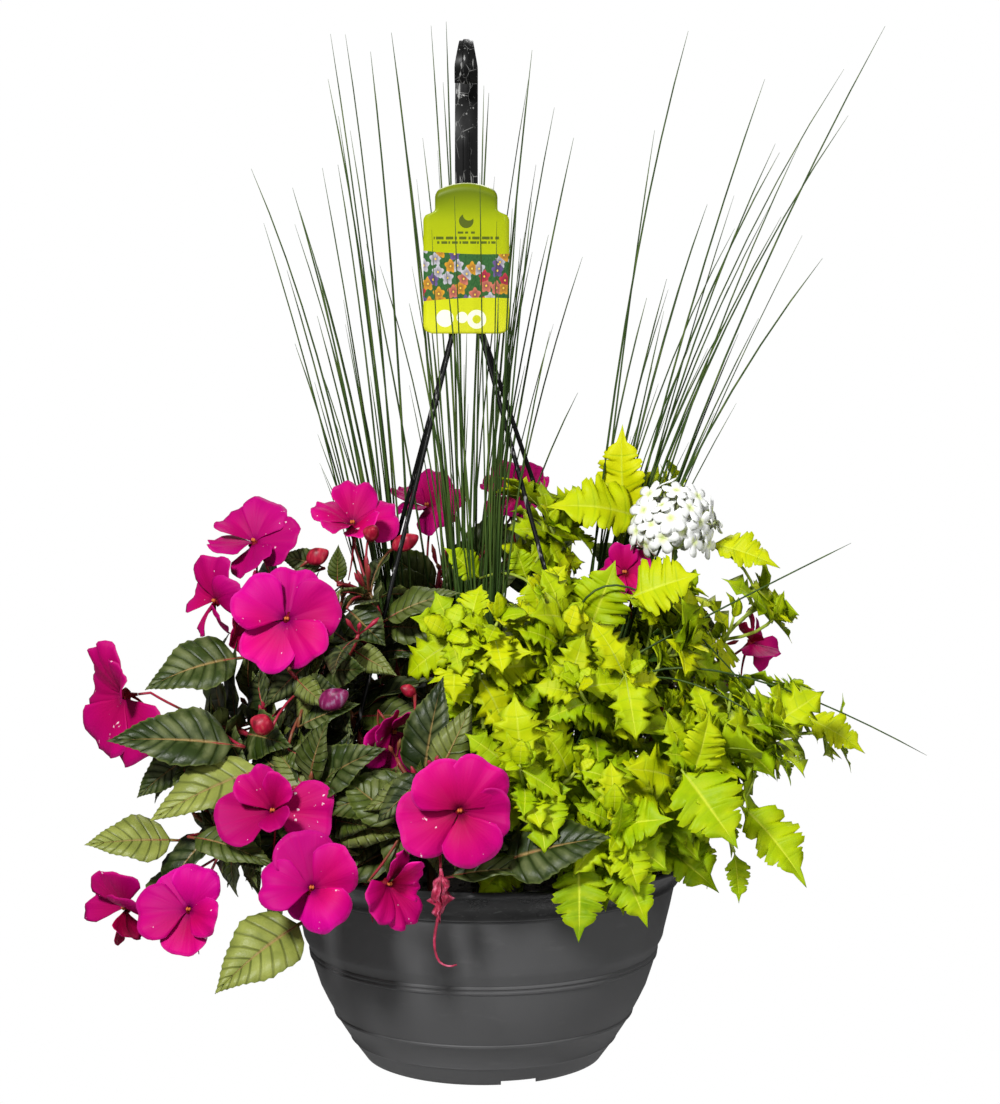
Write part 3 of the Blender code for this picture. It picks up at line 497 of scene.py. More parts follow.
# %% [markdown]
# ## The pot
#
# The real pot is one thin bowl of dark recycled plastic. It has a wide turned-out flare, a fine step
# below it, two close raised lines, a fainter line near the foot and a low foot ring. A turned profile
# gives all of that, and its small steps catch the light better than any bump could.

# %% Pot plastic
FLARE_DROP = 25.6 * MM              # from the rim down to the glossy flare's lower edge
SHARP = 900                         # gain that turns a height in metres into an edge about 1 mm wide
pot_paint = Paint("pot_plastic", Specular_IOR_Level=0.2)
mottle = pot_paint.noise(9, 4)
dust = pot_paint.noise(60, 5, stretch=(1, 1, 0.35))
scuff = pot_paint.noise(34, 6, stretch=(1, 1, 3.2)).above(0.61, 9)
grey = pot_paint.mix(mottle, (0.058, 0.058, 0.059), (0.088, 0.088, 0.09))
grey = pot_paint.mix(dust.above(0.5, 1.4), grey, (0.075, 0.075, 0.076))
below_rim = RIM_CENTRE.z - pot_paint.place().part("Z")
flare = below_rim.below(FLARE_DROP, SHARP)
# painted shadow: a thin dark line just under the step at the flare's lower edge
painted_step_shadow = (1 - abs(below_rim - (FLARE_DROP + 0.6 * MM)) * SHARP).clamped()
wet = flare * pot_paint.noise(22, 5, stretch=(1, 1, 0.6)).above(0.36, 4)
rub = flare * pot_paint.noise(150, 5, stretch=(1, 1, 2.4)).above(0.6, 9)
# painted shade: the flare band is painted near black, as if the foliage over it shaded it
grey = pot_paint.mix(flare * 0.92, grey, (0.012, 0.012, 0.012))
grey = pot_paint.mix(rub * 0.3, grey, (0.16, 0.16, 0.16))
grey = pot_paint.mix(painted_step_shadow * 0.8, grey, (0.004, 0.004, 0.004))
pot_paint.set(Base_Color=pot_paint.mix(scuff * 0.22, grey, (0.14, 0.14, 0.138)),
              Roughness=0.46 + mottle * 0.16 + scuff * 0.15 - wet * 0.28,
              Normal=pot_paint.bump(pot_paint.noise(1500, 2), 0.25, 0.0002))

# %% Pot
POT_PROFILE = (
    (0, -157), (79, -157), (80.4, -157.6), (81.6, -159.4), (83, -160), (86.5, -160), (88.3, -159.2),
    (90.6, -156), (97, -147.2), (98.2, -145.6), (99.4, -144.7), (99.6, -143.4), (104.6, -135.6),
    (110.2, -126.8), (111.4, -126), (111.8, -124.6), (111.4, -123.8), (116.6, -114), (121.6, -103.5),
    (126, -90), (128.1, -82.8), (129.3, -82), (129.5, -80.8), (128.9, -80), (129, -79), (129.9, -78.2),
    (129.9, -77), (129.3, -76.2), (131.3, -71.6), (132.6, -69.4), (133.8, -66.6), (134.6, -62),
    (138.9, -44), (142.3, -27.6), (142.6, -26.4), (144.7, -25.8), (145.4, -24.8), (145.6, -22.6),
    (146.6, -18.8), (149, -15.6), (158, -8.6), (163.4, -4.9), (165.4, -4), (166.1, -2.6), (165.9, -1),
    (164.8, -0.2), (163, -0.3), (160.6, -1), (148, -12.4), (143, -17.4), (141, -20.6), (136.4, -44),
    (128, -78), (119, -103), (97, -142), (85.5, -153), (82, -154), (0, -154),
)
DRAINS, DRAIN_RING, DRAIN_RADIUS, FLOOR_DEPTH = 4, 50 * MM, 5 * MM, 156 * MM
NOTCH_PLACE, NOTCH_SIZE = (25.5, -84, -159.3), (25 * MM, 24 * MM, 6.3 * MM)
RIM_HOLE, RIM_HOLE_RADIUS = (154.5, -10.4), 2.3 * MM    # the strands' holes: radius and height in the flare
DRAIN_DRILL, RIM_DRILL = 20 * MM, 18 * MM      # lengths of the cylinders that cut the holes
STRANDS = {"back_left": 146, "front_left": -139, "front_right": -47, "back_right": 33}
YOKE_FOOT, SOCKET = -184 * MM, (5.2 * MM, 4.8 * MM)


def strand_ends(azimuth):
    """The mouth of a strand's socket in the yoke, its hole in the rim, and the way between them."""
    out = compass(math.radians(azimuth))
    hole = RIM_CENTRE + out * RIM_HOLE[0] * MM + UP * RIM_HOLE[1] * MM
    mouth = Vector((math.copysign(SOCKET[0], out.x), math.copysign(SOCKET[1], out.y), YOKE_FOOT))
    return mouth, hole, (hole - mouth).normalized()


def drill(place, along, radius, depth):
    """A cylinder to cut a hole with."""
    bpy.ops.mesh.primitive_cylinder_add(vertices=24, radius=radius, depth=depth, location=place,
                                        rotation=along.to_track_quat("Z", "Y").to_euler())
    return bpy.context.object


pot = spun("pot_bowl", POT_PROFILE, 144)
drills = []
for index in range(DRAINS):
    out = compass(math.tau * (index + 0.5) / DRAINS)
    drills.append(drill(RIM_CENTRE + out * DRAIN_RING - UP * FLOOR_DEPTH, UP, DRAIN_RADIUS, DRAIN_DRILL))
for azimuth in STRANDS.values():
    _, hole, way = strand_ends(azimuth)
    drills.append(drill(hole, way, RIM_HOLE_RADIUS, RIM_DRILL))
bpy.ops.mesh.primitive_cube_add(size=1, location=at(*NOTCH_PLACE), scale=NOTCH_SIZE)
drills.append(bpy.context.object)
drilling = joined("drills", drills)
changed(pot, "BOOLEAN", object=drilling, operation="DIFFERENCE")
bpy.data.objects.remove(drilling)
bpy.ops.object.shade_smooth_by_angle(angle=math.radians(38))
finished(pot, pot_paint, "pot_plastic", "pot", smooth=False)
print("pot:", len(pot.data.polygons), "faces")

# %% [markdown]
# ## The soil
#
# Potting mix is dark, coarse and dull. It is a turned lump as deep as the pot, roughened by noise on top,
# with crumbs and a few white grains of perlite scattered over it. The stems simply stand in it.

# %% Potting mix
soil_paint = Paint("potting_mix", Roughness=0.95)
crumb = soil_paint.noise(260, 6)
soil_paint.set(Base_Color=soil_paint.ramp(crumb, (0.3, (0.008, 0.006, 0.005)), (0.55, (0.03, 0.02, 0.014)),
                                          (0.75, (0.09, 0.06, 0.04))),
               Normal=soil_paint.bump(crumb, 0.8, 0.002))
perlite_paint = Paint("perlite_grains", Roughness=0.9)
pore = perlite_paint.noise(900, 3)
perlite_paint.set(Base_Color=perlite_paint.ramp(pore, (0.35, (0.34, 0.32, 0.28)), (0.6, (0.64, 0.63, 0.6))),
                  Normal=perlite_paint.bump(pore, 0.6, 0.0004))

# %% Soil and its crumbs
SOIL_EDGE, SOIL_LOW, SOIL_RISE = 138.6, -26.4, 15.4     # radius, its height at the edge, rise to the middle
SOIL_RINGS, CRUMB_REACH = 18, 136


def soil_height(out):
    """The height of the soil's slope at a distance from the middle."""
    return SOIL_LOW + SOIL_RISE - SOIL_RISE * out / SOIL_EDGE


soil_profile = [(0, -153.6), (84, -153.6), (118, -103), (SOIL_EDGE, SOIL_LOW)]
soil_profile += [(SOIL_EDGE * (1 - i / SOIL_RINGS), SOIL_LOW + SOIL_RISE * i / SOIL_RINGS)
                 for i in range(1, SOIL_RINGS)]
soil = spun("soil_fill", soil_profile + [(0, SOIL_LOW + SOIL_RISE)], 96)
for vert in soil.data.vertices:
    out = vert.co.xy.length / MM
    if vert.co.z > (SOIL_LOW + 0.2) * MM and out < SOIL_EDGE - 1.6:
        lump = noise.noise(vert.co * 60) * 2.4 + noise.noise(vert.co * 220) * 1.3
        vert.co.z += lump * MM * min(1, (SOIL_EDGE - 0.6 - out) / 12)
finished(soil, soil_paint, "potting_mix", "soil")


def crumbs(name, count, sizes, paint, seed):
    """Small angular grains that lie on the soil, each a squashed icosphere. sizes are half sizes in mm."""
    draw = random.Random(seed)
    bpy.ops.mesh.primitive_ico_sphere_add(subdivisions=1, radius=1)
    grain = bpy.context.object
    grains = []
    for _ in range(count):
        out, angle = CRUMB_REACH * math.sqrt(draw.random()), draw.uniform(0, math.tau)
        size = draw.uniform(*sizes) * MM
        piece = linked(name, grain.data.copy())
        place = at(out * math.cos(angle), out * math.sin(angle), soil_height(out) + 0.3 * size / MM)
        turn = Matrix.Rotation(draw.uniform(0, math.tau), 4, scatter(draw))
        squash = Matrix.Diagonal((size * draw.uniform(0.7, 1.6), size, size * draw.uniform(0.4, 0.8), 1))
        piece.matrix_world = Matrix.Translation(place) @ turn @ squash
        grains.append(piece)
    bpy.data.objects.remove(grain)
    finished(joined(name, grains), paint, "potting_mix", smooth=False)


crumbs("soil_crumbs", 420, (0.9, 2.6), soil_paint, 3)
crumbs("soil_perlite", 46, (0.8, 1.5), perlite_paint, 4)

# %% [markdown]
# ## The hanger
#
# The hook is a flat strip with a raised rib down its middle, bent over the bar. Its section is the same
# all the way, but for its width and inner rib, so it is lofted along its line and then bevelled. The four
# strands are plain round rods of the same plastic that end in a knob under the rim.

# %% Hanger plastic
YOKE_TOP, YOKE_SIZE = -166 * MM, (17.5 * MM, 15.5 * MM)
hanger_paint = Paint("hanger_plastic", Specular_IOR_Level=0.12)
wear = hanger_paint.noise(70, 5, stretch=(1, 1, 0.25))
scratch = hanger_paint.noise(430, 4, stretch=(1, 1, 0.12)).above(0.61, 16)
place = hanger_paint.place()
cracks = hanger_paint.node("ShaderNodeTexVoronoi", {"feature": "DISTANCE_TO_EDGE"},
                           {"Vector": hanger_paint.stretched(place, (1, 1, 0.45)), "Scale": 130})
cracks = cracks.below(0.02, 80) * hanger_paint.noise(60, 3).above(0.46, 8)
cracks = cracks * (place.part("Z") > YOKE_TOP)
black = hanger_paint.mix(wear, (0.002, 0.002, 0.002), (0.006, 0.006, 0.006))
worn = (scratch * 0.6 + cracks * 0.45).clamped()
hanger_paint.set(Base_Color=hanger_paint.mix(worn, black, (0.34, 0.34, 0.33)),
                 Roughness=0.3 + wear * 0.25,
                 Normal=hanger_paint.bump(wear, 0.3, 0.0006))

# %% Hook
CROOK_RADIUS, STRIP_HALF = 15.5 * MM, 3.5 * MM
STRIP_WIDTH, APEX_WIDTH, RIB_HALF, RIB_RISE = 16.5 * MM, 10 * MM, 2.5 * MM, 1 * MM
APEX_HEIGHT, APEX_REACH, NARROW_FROM, INNER_RIB_TOP = 3.5 * MM, 15 * MM, -12 * MM, -60 * MM


def hook_line():
    """Places down the middle of the strip, from the yoke up, round the bar and to the tip."""
    centre = Vector((0, 0, STRIP_HALF - CROOK_RADIUS))
    line = [Vector((0, 0, z * MM)) for z in (-170, -140, -110, -85, -70)]
    line += curve_points(line[-1], Vector((0, 0, -50 * MM)), Vector((0, 13 * MM, -31 * MM)), 6)[1:]
    line += [centre + Vector((0, math.cos(a), math.sin(a))) * CROOK_RADIUS
             for a in (math.radians(d) for d in range(-5, 221, 9))]
    return line


def strip_section(half, back):
    """The strip's outline: (across, through) points, with a rib on its outer and, lower down, inner face."""
    flat, rib = STRIP_HALF, STRIP_HALF + RIB_RISE
    return [(-half, -flat), (-RIB_HALF, -flat), (-RIB_HALF * 0.8, -rib), (RIB_HALF * 0.8, -rib),
            (RIB_HALF, -flat), (half, -flat), (half, flat), (RIB_HALF, flat), (RIB_HALF * 0.8, back),
            (-RIB_HALF * 0.8, back), (-RIB_HALF, flat), (-half, flat)]


def make_hook():
    line = hook_line()
    rings = []
    for index, place in enumerate(line):
        ahead = (line[min(index + 1, len(line) - 1)] - line[max(index - 1, 0)]).normalized()
        inward = Vector((1, 0, 0)).cross(ahead)
        over = max(0, 1 - abs(place.z - APEX_HEIGHT) / APEX_REACH) if place.z > NARROW_FROM else 0
        half = (STRIP_WIDTH + (APEX_WIDTH - STRIP_WIDTH) * over) / 2
        back = STRIP_HALF + (RIB_RISE if place.z < INNER_RIB_TOP else 0)
        rings.append([place + Vector((x, 0, 0)) + inward * y for x, y in strip_section(half, back)])
    sides = len(rings[0])
    ends = [tuple(range(sides))[::-1], tuple(range((len(rings) - 1) * sides, len(rings) * sides))]
    strip = piece_of("strip", [p for ring in rings for p in ring], ring_faces(len(rings), sides) + ends)
    height = YOKE_TOP - YOKE_FOOT
    bpy.ops.mesh.primitive_cube_add(size=1, location=(0, 0, YOKE_FOOT + height / 2),
                                    scale=(*YOKE_SIZE, height))
    yoke = bpy.context.object
    bpy.ops.object.transform_apply(location=True, rotation=True, scale=True)
    pick_faces(yoke, lambda face: face.normal.z > 0.9)
    bpy.ops.mesh.extrude_region_move(TRANSFORM_OT_translate={"value": (0, 0, 7 * MM)})
    bpy.ops.transform.resize(value=(0.86, 0.5, 1))
    bpy.ops.object.mode_set(mode="OBJECT")
    hook = mended(joined("hanger_hook", [strip, yoke]))
    changed(hook, "BEVEL", width=0.7 * MM, segments=2, limit_method="ANGLE", angle_limit=math.radians(28))
    bpy.ops.object.shade_smooth_by_angle(angle=math.radians(35))
    finished(hook, hanger_paint, "hanger_plastic", "hook", smooth=False)


make_hook()

# %% Strands
STRAND_RADIUS = 1.7 * MM
KNOB = ((5.6, 1.7), (6, 2.6), (6.8, 4.2), (8.6, 4.2), (10, 3.4), (11.6, 2.5), (12, 1.4))    # reach, radius
for side, azimuth in STRANDS.items():
    mouth, hole, way = strand_ends(azimuth)
    run = [(mouth - way * 5.5 * MM, STRAND_RADIUS)]
    run += [(mouth.lerp(hole, i / 12), STRAND_RADIUS) for i in range(13)]
    run += [(hole + way * reach * MM, radius * MM) for reach, radius in KNOB]
    strand = tubes("hanger_strand_" + side, [list(zip(*run))], 3)
    finished(strand, hanger_paint, "hanger_plastic", "strand_" + side)

# %% [markdown]
# ## The tag
#
# The tag is printed card: lime all over, with painted shade that darkens it towards its folded neck, and a
# band of small bright blossoms. A grid is pulled to the card's outline and folded over the shank, where its
# slot is. The print is drawn by the material from the card's own UV map, so it needs no picture.

# %% Card
card_paint = Paint("lime_card", Roughness=0.45, Coat_Weight=0.04, Specular_IOR_Level=0.15)
card_uv = card_paint.chart("card")
card_side, card_up = card_uv.part("X"), card_uv.part("Y")
# the lime up the card: its darkening towards the neck and the fold is painted shade
lime = card_paint.ramp(card_up, (0.0, (0.55, 0.56, 0.02)), (0.14, (0.5, 0.53, 0.006)),
                       (0.45, (0.36, 0.41, 0.001)), (0.62, (0.3, 0.36, 0.001)), (0.7, (0.2, 0.26, 0.001)),
                       (0.79, (0.1, 0.14, 0.001)), (0.835, (0.14, 0.18, 0.002)), (0.842, (0.62, 0.66, 0.4)))
cells = card_paint.stretched(card_uv, (8, 14, 1))


def mosaic(output):
    """One output of the scattered cells, each of which holds a blossom."""
    return card_paint.node("ShaderNodeTexVoronoi", {"voronoi_dimensions": "2D"},
                           {"Vector": cells, "Scale": 1.0}, output)


blossom = mosaic("Distance")
spoke = card_paint.node("ShaderNodeVectorMath", {"operation": "SUBTRACT"}, {0: cells, 1: mosaic("Position")})
spoke_x, spoke_y = spoke.part("X"), spoke.part("Y")
lobe = (spoke_y.math("ARCTAN2", spoke_y, spoke_x) * 5).sine()
hue = card_paint.node("ShaderNodeSeparateColor", {}, {0: mosaic("Color")})
flower = card_paint.ramp(hue, (0.2, (0.6, 0.6, 0.66)), (0.42, (0.8, 0.38, 0.01)), (0.58, (0.6, 0.03, 0.06)),
                         (0.72, (0.7, 0.2, 0.12)), (0.86, (0.14, 0.1, 0.3)))
flower.paint.tree.nodes[-1].color_ramp.interpolation = "CONSTANT"
shadow = (blossom * 1.1 + card_paint.noise(70, 3, card_uv) * 0.5 - 0.1).clamped()
flower = card_paint.mix(shadow, (0.05, 0.02, 0.03), flower)
green = card_paint.mix(card_paint.noise(60, 3, card_uv), (0.004, 0.03, 0.01), (0.05, 0.16, 0.04))
blossoms = card_paint.mix(blossom.below(0.52 + lobe * 0.09, 14), green, flower)
blossoms = card_paint.mix(blossom.below(0.1, 30), blossoms, (0.7, 0.5, 0.06))
wave = (card_side * 2.2).sine() * 0.02
band = ((card_up - wave) > 0.18) * ((card_up + wave) < 0.46)


def printed_row(height, thick, half, pace):
    """A row of short dark marks, as small as print and meaning nothing."""
    words = ((card_side * pace).sine() + (card_side * pace * 0.37).sine()) > -0.7
    return (abs(card_up - height) < thick) * (abs(card_side - 0.5) < half) * words


def spot(side, height, size):
    """A disc at a place on the card, which is about twice as tall as it is wide."""
    far = (card_side - side) ** 2.0 + ((card_up - height) * 2.1) ** 2.0
    return far < size ** 2


rows = printed_row(0.505, 0.007, 0.34, 150) + printed_row(0.53, 0.008, 0.38, 120)
crescent = spot(0.5, 0.625, 0.085) * (1 - spot(0.53, 0.66, 0.07))
printed = rows + printed_row(0.56, 0.006, 0.1, 90) + crescent
ring = spot(0.62, 0.08, 0.11) * (1 - spot(0.62, 0.08, 0.05))
pale = spot(0.25, 0.085, 0.1) + spot(0.45, 0.09, 0.065) + ring
card_colour = card_paint.mix(pale.clamped() * 0.85, card_paint.mix(band, lime, blossoms), (0.8, 0.82, 0.7))
card_paint.set(Base_Color=card_paint.mix(printed.clamped() * 0.85, card_colour, (0.03, 0.05, 0.01)),
               Normal=card_paint.bump(card_paint.noise(40, 2), 0.15, 0.001))

# %% Tag
TAG_FRONT, TAG_BOTTOM, TAG_SHOULDER, TAG_FOLD = -13 * MM, -203 * MM, -116 * MM, -100 * MM
TAG_HALF, NECK_HALF, SLOT_HALF, SHANK_CLEAR = 31 * MM, 22.5 * MM, 9.2 * MM, 5 * MM
TAG_CORNER, TAG_THICK, FOLD_RADIUS, FOLD_ROUND = 6 * MM, 0.7 * MM, 5 * MM, 3 * MM
LIP, ARCH, BOW, NECK_FLARE, FLARE_REACH = 6 * MM, 6 * MM, 2.2 * MM, 2.5 * MM, 4 * MM


def tag_half(height):
    """Half the card's width at a height: round corners below, a shoulder, and the neck."""
    low = height - TAG_BOTTOM
    if low < TAG_CORNER:
        return TAG_HALF - TAG_CORNER + math.sqrt(max(0, TAG_CORNER ** 2 - (TAG_CORNER - low) ** 2))
    if height > TAG_FOLD:
        return NECK_HALF - FOLD_ROUND * ((height - TAG_FOLD) / FOLD_RADIUS) ** 3
    drop = TAG_SHOULDER - height
    if drop >= TAG_CORNER:
        return TAG_HALF
    if drop > 0:
        return TAG_HALF - TAG_CORNER + math.sqrt(TAG_CORNER ** 2 - (TAG_CORNER - drop) ** 2)
    return NECK_HALF + NECK_FLARE * max(0, 1 + drop / FLARE_REACH) ** 2


def tag_place(run):
    """Where a distance up the card lies: (y, z) and the height that its width is read from."""
    front = TAG_FOLD - TAG_BOTTOM
    if run <= front:
        bow = BOW * math.sin(math.pi * run / front)
        return TAG_FRONT + bow * 0.6, TAG_BOTTOM + run
    arc = run - front
    quarter = FOLD_RADIUS * math.pi / 2
    if arc < quarter:
        a = arc / FOLD_RADIUS
        return TAG_FRONT + FOLD_RADIUS * (1 - math.cos(a)), TAG_FOLD + FOLD_RADIUS * math.sin(a)
    return TAG_FRONT + FOLD_RADIUS + arc - quarter, TAG_FOLD + FOLD_RADIUS


TAG_RUN = TAG_FOLD - TAG_BOTTOM + FOLD_RADIUS * math.pi / 2 + (-TAG_FRONT - FOLD_RADIUS) + SHANK_CLEAR + LIP
tag = grid("tag_card", 14, 70)
chart(tag, "card", [((vert.co.x + 1) / 2, (vert.co.y + 1) / 2) for vert in tag.data.vertices])
for vert in tag.data.vertices:
    run = (vert.co.y + 1) / 2 * TAG_RUN
    y, z = tag_place(run)
    side = vert.co.x * tag_half(z)
    crown = max(0, min(1, (z - TAG_SHOULDER) / (TAG_FOLD - TAG_SHOULDER)))
    vert.co = (side, y, z - ARCH * crown * (side / NECK_HALF) ** 2)
pick_faces(tag, lambda face: abs(face.center.x) < SLOT_HALF and abs(face.center.y) < SHANK_CLEAR
           and face.center.z > TAG_FOLD)
bpy.ops.mesh.delete(type="FACE")
bpy.ops.object.mode_set(mode="OBJECT")
changed(tag, "SOLIDIFY", thickness=TAG_THICK, offset=0)
finished(tag, card_paint, "lime_card", "tag")

# %% [markdown]
# ## Rushes
#
# A rush blade is a thin round quill that tapers to a point. Each bunch is one curve object with a spline
# for every blade. The blades stand where the plain ones do, and thinner ones are drawn between them, so
# that the clump is as full as a grown plant.

# %% Rush green
rush_paint = Paint("rush_blade", Roughness=0.5, Specular_IOR_Level=0.2)
streak = rush_paint.noise(28, 2, stretch=(6, 6, 0.5))
fleck = rush_paint.noise(420, 2, stretch=(1, 1, 0.06))
rush_paint.set(Base_Color=rush_paint.mix(fleck * 0.5, rush_paint.ramp(
    streak, (0.25, (0.012, 0.03, 0.004)), (0.5, (0.035, 0.075, 0.01)), (0.72, (0.1, 0.15, 0.025))),
    (0.02, 0.04, 0.008)))

# %% Rushes
CROWN_RADIUS, CROWN_TOP, HOLE_FLOOR = 9.5 * MM, 6, -46
ROOT_DEPTH, RUSH_STEPS, RUSH_TRIES = 9 * MM, 4, 120
RUSHES = {
    # bunch: foot, tips
    "rushes_left": ((-56, 42), (
        (-171, 40, 496), (-164, 65, 456), (-141, 45, 482), (-138, 80, 465), (-142, 70, 366), (-125, 60, 387),
        (-96, 50, 346), (-115, 60, 562), (-112, 40, 594), (-103, 80, 596), (-98, 45, 524), (-87, 40, 582),
        (-150, 110, 420), (-110, 120, 500))),
    "rushes_back": ((-14, 62), (
        (-68, 60, 596), (-39, 75, 602), (-28, 90, 606), (4, 62, 552), (36, 55, 583), (53, 80, 542),
        (67, 60, 519), (-60, 120, 520), (0, 130, 560), (40, 120, 500), (-90, 130, 440), (80, 110, 430),
        (-20, 105, 480), (20, 90, 440), (72, 70, 329))),
    "rushes_front": ((4, -40), (
        (21, -44, 467), (25, -36, 482), (35, -30, 472), (-52, -50, 400), (-26, -52, 425), (2, -58, 380),
        (-38, -46, 350), (12, -40, 410), (48, -44, 380))),
    "rushes_right": ((66, 34), (
        (149, 20, 595), (126, 40, 524), (204, 10, 560), (214, 30, 514), (219, 50, 508), (232, 20, 517),
        (293, 30, 599), (269, 50, 535), (216, 0, 461), (247, 10, 431), (182, 60, 386), (190, 30, 375),
        (155, 60, 436), (138, 80, 414), (125, 90, 399), (119, 90, 308), (170, 110, 470), (210, 90, 430))),
}
ARCH_FOOT = (46, -30)
ARCHES = (
    # where the blade rises through, where it leans over, its tip
    ((40, -44, 150), (110, -62, 230), (206, -70, 105)),
    ((60, -60, 120), (150, -70, 175), (263, -60, 230)),
    ((70, -50, 130), (190, -80, 150), (318, -70, 78)),
    ((60, -70, 90), (120, -110, 160), (190, -150, 120)),
)
THIN_RUSHES = {"rushes_left": 20, "rushes_back": 30, "rushes_front": 13, "rushes_right": 24}    # most blades
OVER_TAG = ((-36, -52, 452), (-20, -46, 476), (-2, -44, 492), (10, -42, 458))       # tips of thin ones


def arch_ways(name, index, rise, over, tip):
    """The curves that an arching blade may take, each with the blade's girth."""
    turn = index * math.pi / 2 + 0.4
    root = at(*ARCH_FOOT, CROWN_TOP) + compass(turn) * 0.5 * CROWN_RADIUS
    for attempt, draw in attempts(RUSH_TRIES, name, index):
        stray = scatter(draw) * 0.9 * MM * attempt
        rise_at, over_at = at(*rise) + stray, at(*over) + stray
        middle = rise_at.lerp(over_at, 0.5)
        controls = (root, rise_at, middle), (middle, over_at, at(*tip) + 0.3 * stray)
        yield controls, 1.1 * MM


def rush_ways(name, index, place, tip):
    """The same for a blade that stands more or less upright."""
    tip = at(*tip)
    for attempt, draw in attempts(RUSH_TRIES, name, index):
        turn, out = draw.uniform(0, math.tau), draw.uniform(0.2, 0.72) * CROWN_RADIUS
        root = at(*place, CROWN_TOP) + compass(turn) * out
        bend = root.lerp(tip, draw.uniform(0.2, 0.4))
        bend.z = root.z + (tip.z - root.z) * draw.uniform(0.5, 0.62)
        stray = Vector((draw.uniform(-3, 3), draw.uniform(-14, 14), 0)) * 0.04 * MM * attempt
        yield ((root, bend + stray, tip + stray),), draw.uniform(0.85, 1.15) * MM


def arc_of(controls, steps):
    """The points of one or more curves in a row."""
    points = []
    for start, bend, end in controls:
        points += curve_points(start, bend, end, steps)[1 if points else 0:]
    return points


def rush_probes(way):
    points = arc_of(way[0], RUSH_STEPS if len(way[0]) == 1 else 3)
    return [(point, 0.3 * way[1]) for point in points[1:]]


def rush_run(controls, girth):
    """A blade's points and radii: stout for most of its length, then drawn out to a fine tip."""
    points = arc_of(controls, 12)
    last = len(points) - 1
    radii = [girth * (1 - 0.55 * (i / last) ** 1.6) for i in range(last)] + [0.12 * girth]
    return [points[0] - UP * ROOT_DEPTH] + points, [girth] + radii


OVER = 6 * MM                       # how far a new leaf may reach past the box of the solids


class Room:
    """The solids and what was added since, to find whether something new stands clear of them."""

    def __init__(self):
        self.things = []
        for name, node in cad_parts.items():
            low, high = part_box(name)
            self.things.append((name, low, high, solids[name]))

    @staticmethod
    def reach(places):
        return Vector(map(min, zip(*places))), Vector(map(max, zip(*places)))

    def add(self, name, places, faces):
        self.things.append((name, *self.reach(places), BVHTree.FromPolygons(places, faces)))

    def clears(self, places, faces, besides):
        low, high = self.reach(places)
        if any(low[i] < cad_box[0][i] - OVER or high[i] > cad_box[1][i] + OVER for i in range(3)):
            return False
        tree = None
        for name, its_low, its_high, its_tree in self.things:
            if name in besides or any(low[i] > its_high[i] or high[i] < its_low[i] for i in range(3)):
                continue
            tree = tree or BVHTree.FromPolygons(places, faces)
            if tree.overlap(its_tree):
                return False
        return True

    def takes(self, name, new, besides):
        """Adds something new where it is clear of all but what it belongs to, and says whether it was."""
        clear = self.clears(*new, besides)
        if clear:
            self.add(name, *new)
        return clear


room = Room()


def ribbon(points, half):
    """A three-sided sleeve round a line, as coarse as can be, to test whether it is clear."""
    places = []
    for index, point in enumerate(points):
        ahead = (points[min(index + 1, len(points) - 1)] - points[max(index - 1, 0)]).normalized()
        side = ahead.orthogonal().normalized()
        other = ahead.cross(side)
        for corner in range(3):
            angle = math.tau * corner / 3
            places.append(point + (side * math.cos(angle) + other * math.sin(angle)) * half)
    return places, ring_faces(len(points), 3)


def thin_rushes(name, place, tips, count):
    """More blades for a bunch, between the tips of the main ones and a little shorter."""
    draw = random.Random(name + " thin")
    runs = []
    for tip in OVER_TAG if name == "rushes_front" else ():
        foot = at(*place, CROWN_TOP) + Vector((draw.uniform(-5, 5), draw.uniform(-5, 5), 0)) * MM
        bend = foot.lerp(at(*tip), 0.45) + Vector((0.3 * (tip[0] - place[0]), -2, 0)) * MM
        runs.append(rush_run(((foot, bend, at(*tip)),), 0.75 * MM))
    for _ in range(count * 6):
        first, second = draw.sample(tips, 2)
        tip = at(*first).lerp(at(*second), draw.uniform(0, 0.35))
        foot = at(*place, CROWN_TOP)
        tip = foot.lerp(tip, draw.uniform(0.55, 0.97))
        tip += Vector((draw.uniform(-8, 8), draw.uniform(-10, 10), 0)) * MM
        turn, out = draw.uniform(0, math.tau), draw.uniform(0.2, 0.9) * CROWN_RADIUS
        root = foot + compass(turn) * out
        bend = root.lerp(tip, draw.uniform(0.15, 0.35))
        bend.z = root.z + (tip.z - root.z) * draw.uniform(0.45, 0.62)
        controls = ((root, bend, tip),)
        sleeve = ribbon(arc_of(controls, 6)[1:], 1.1 * MM)
        if room.takes(name, sleeve, (name,)):
            runs.append(rush_run(controls, draw.uniform(0.6, 0.95) * MM))
        if len(runs) >= count:
            break
    return runs


def make_rushes():
    bunches = {name: (place, [rush_ways(name, i, place, tip) for i, tip in enumerate(tips)])
               for name, (place, tips) in RUSHES.items()}
    arching = [arch_ways("rushes_arching", i, *arch) for i, arch in enumerate(ARCHES)]
    bunches["rushes_arching"] = ARCH_FOOT, arching
    for name, (place, blades) in bunches.items():
        found = [nearest_way(name, ways, rush_probes) for ways in blades]
        runs = [rush_run(*way) for way in found if way]
        kept = len(runs)
        if name in RUSHES:
            runs += thin_rushes(name, place, RUSHES[name][1], THIN_RUSHES[name])
        crown = [at(*place, z) for z in (HOLE_FLOOR + 2, -12, 0, CROWN_TOP)]
        runs.append((crown, [CROWN_RADIUS * s for s in (1, 1, 0.9, 0.5)]))
        finished(tubes(name + "_blades", runs), rush_paint, "rush_green", name)
        print(name, "blades:", kept, "of", len(blades), "and thin ones:", len(runs) - kept - 1)


make_rushes()

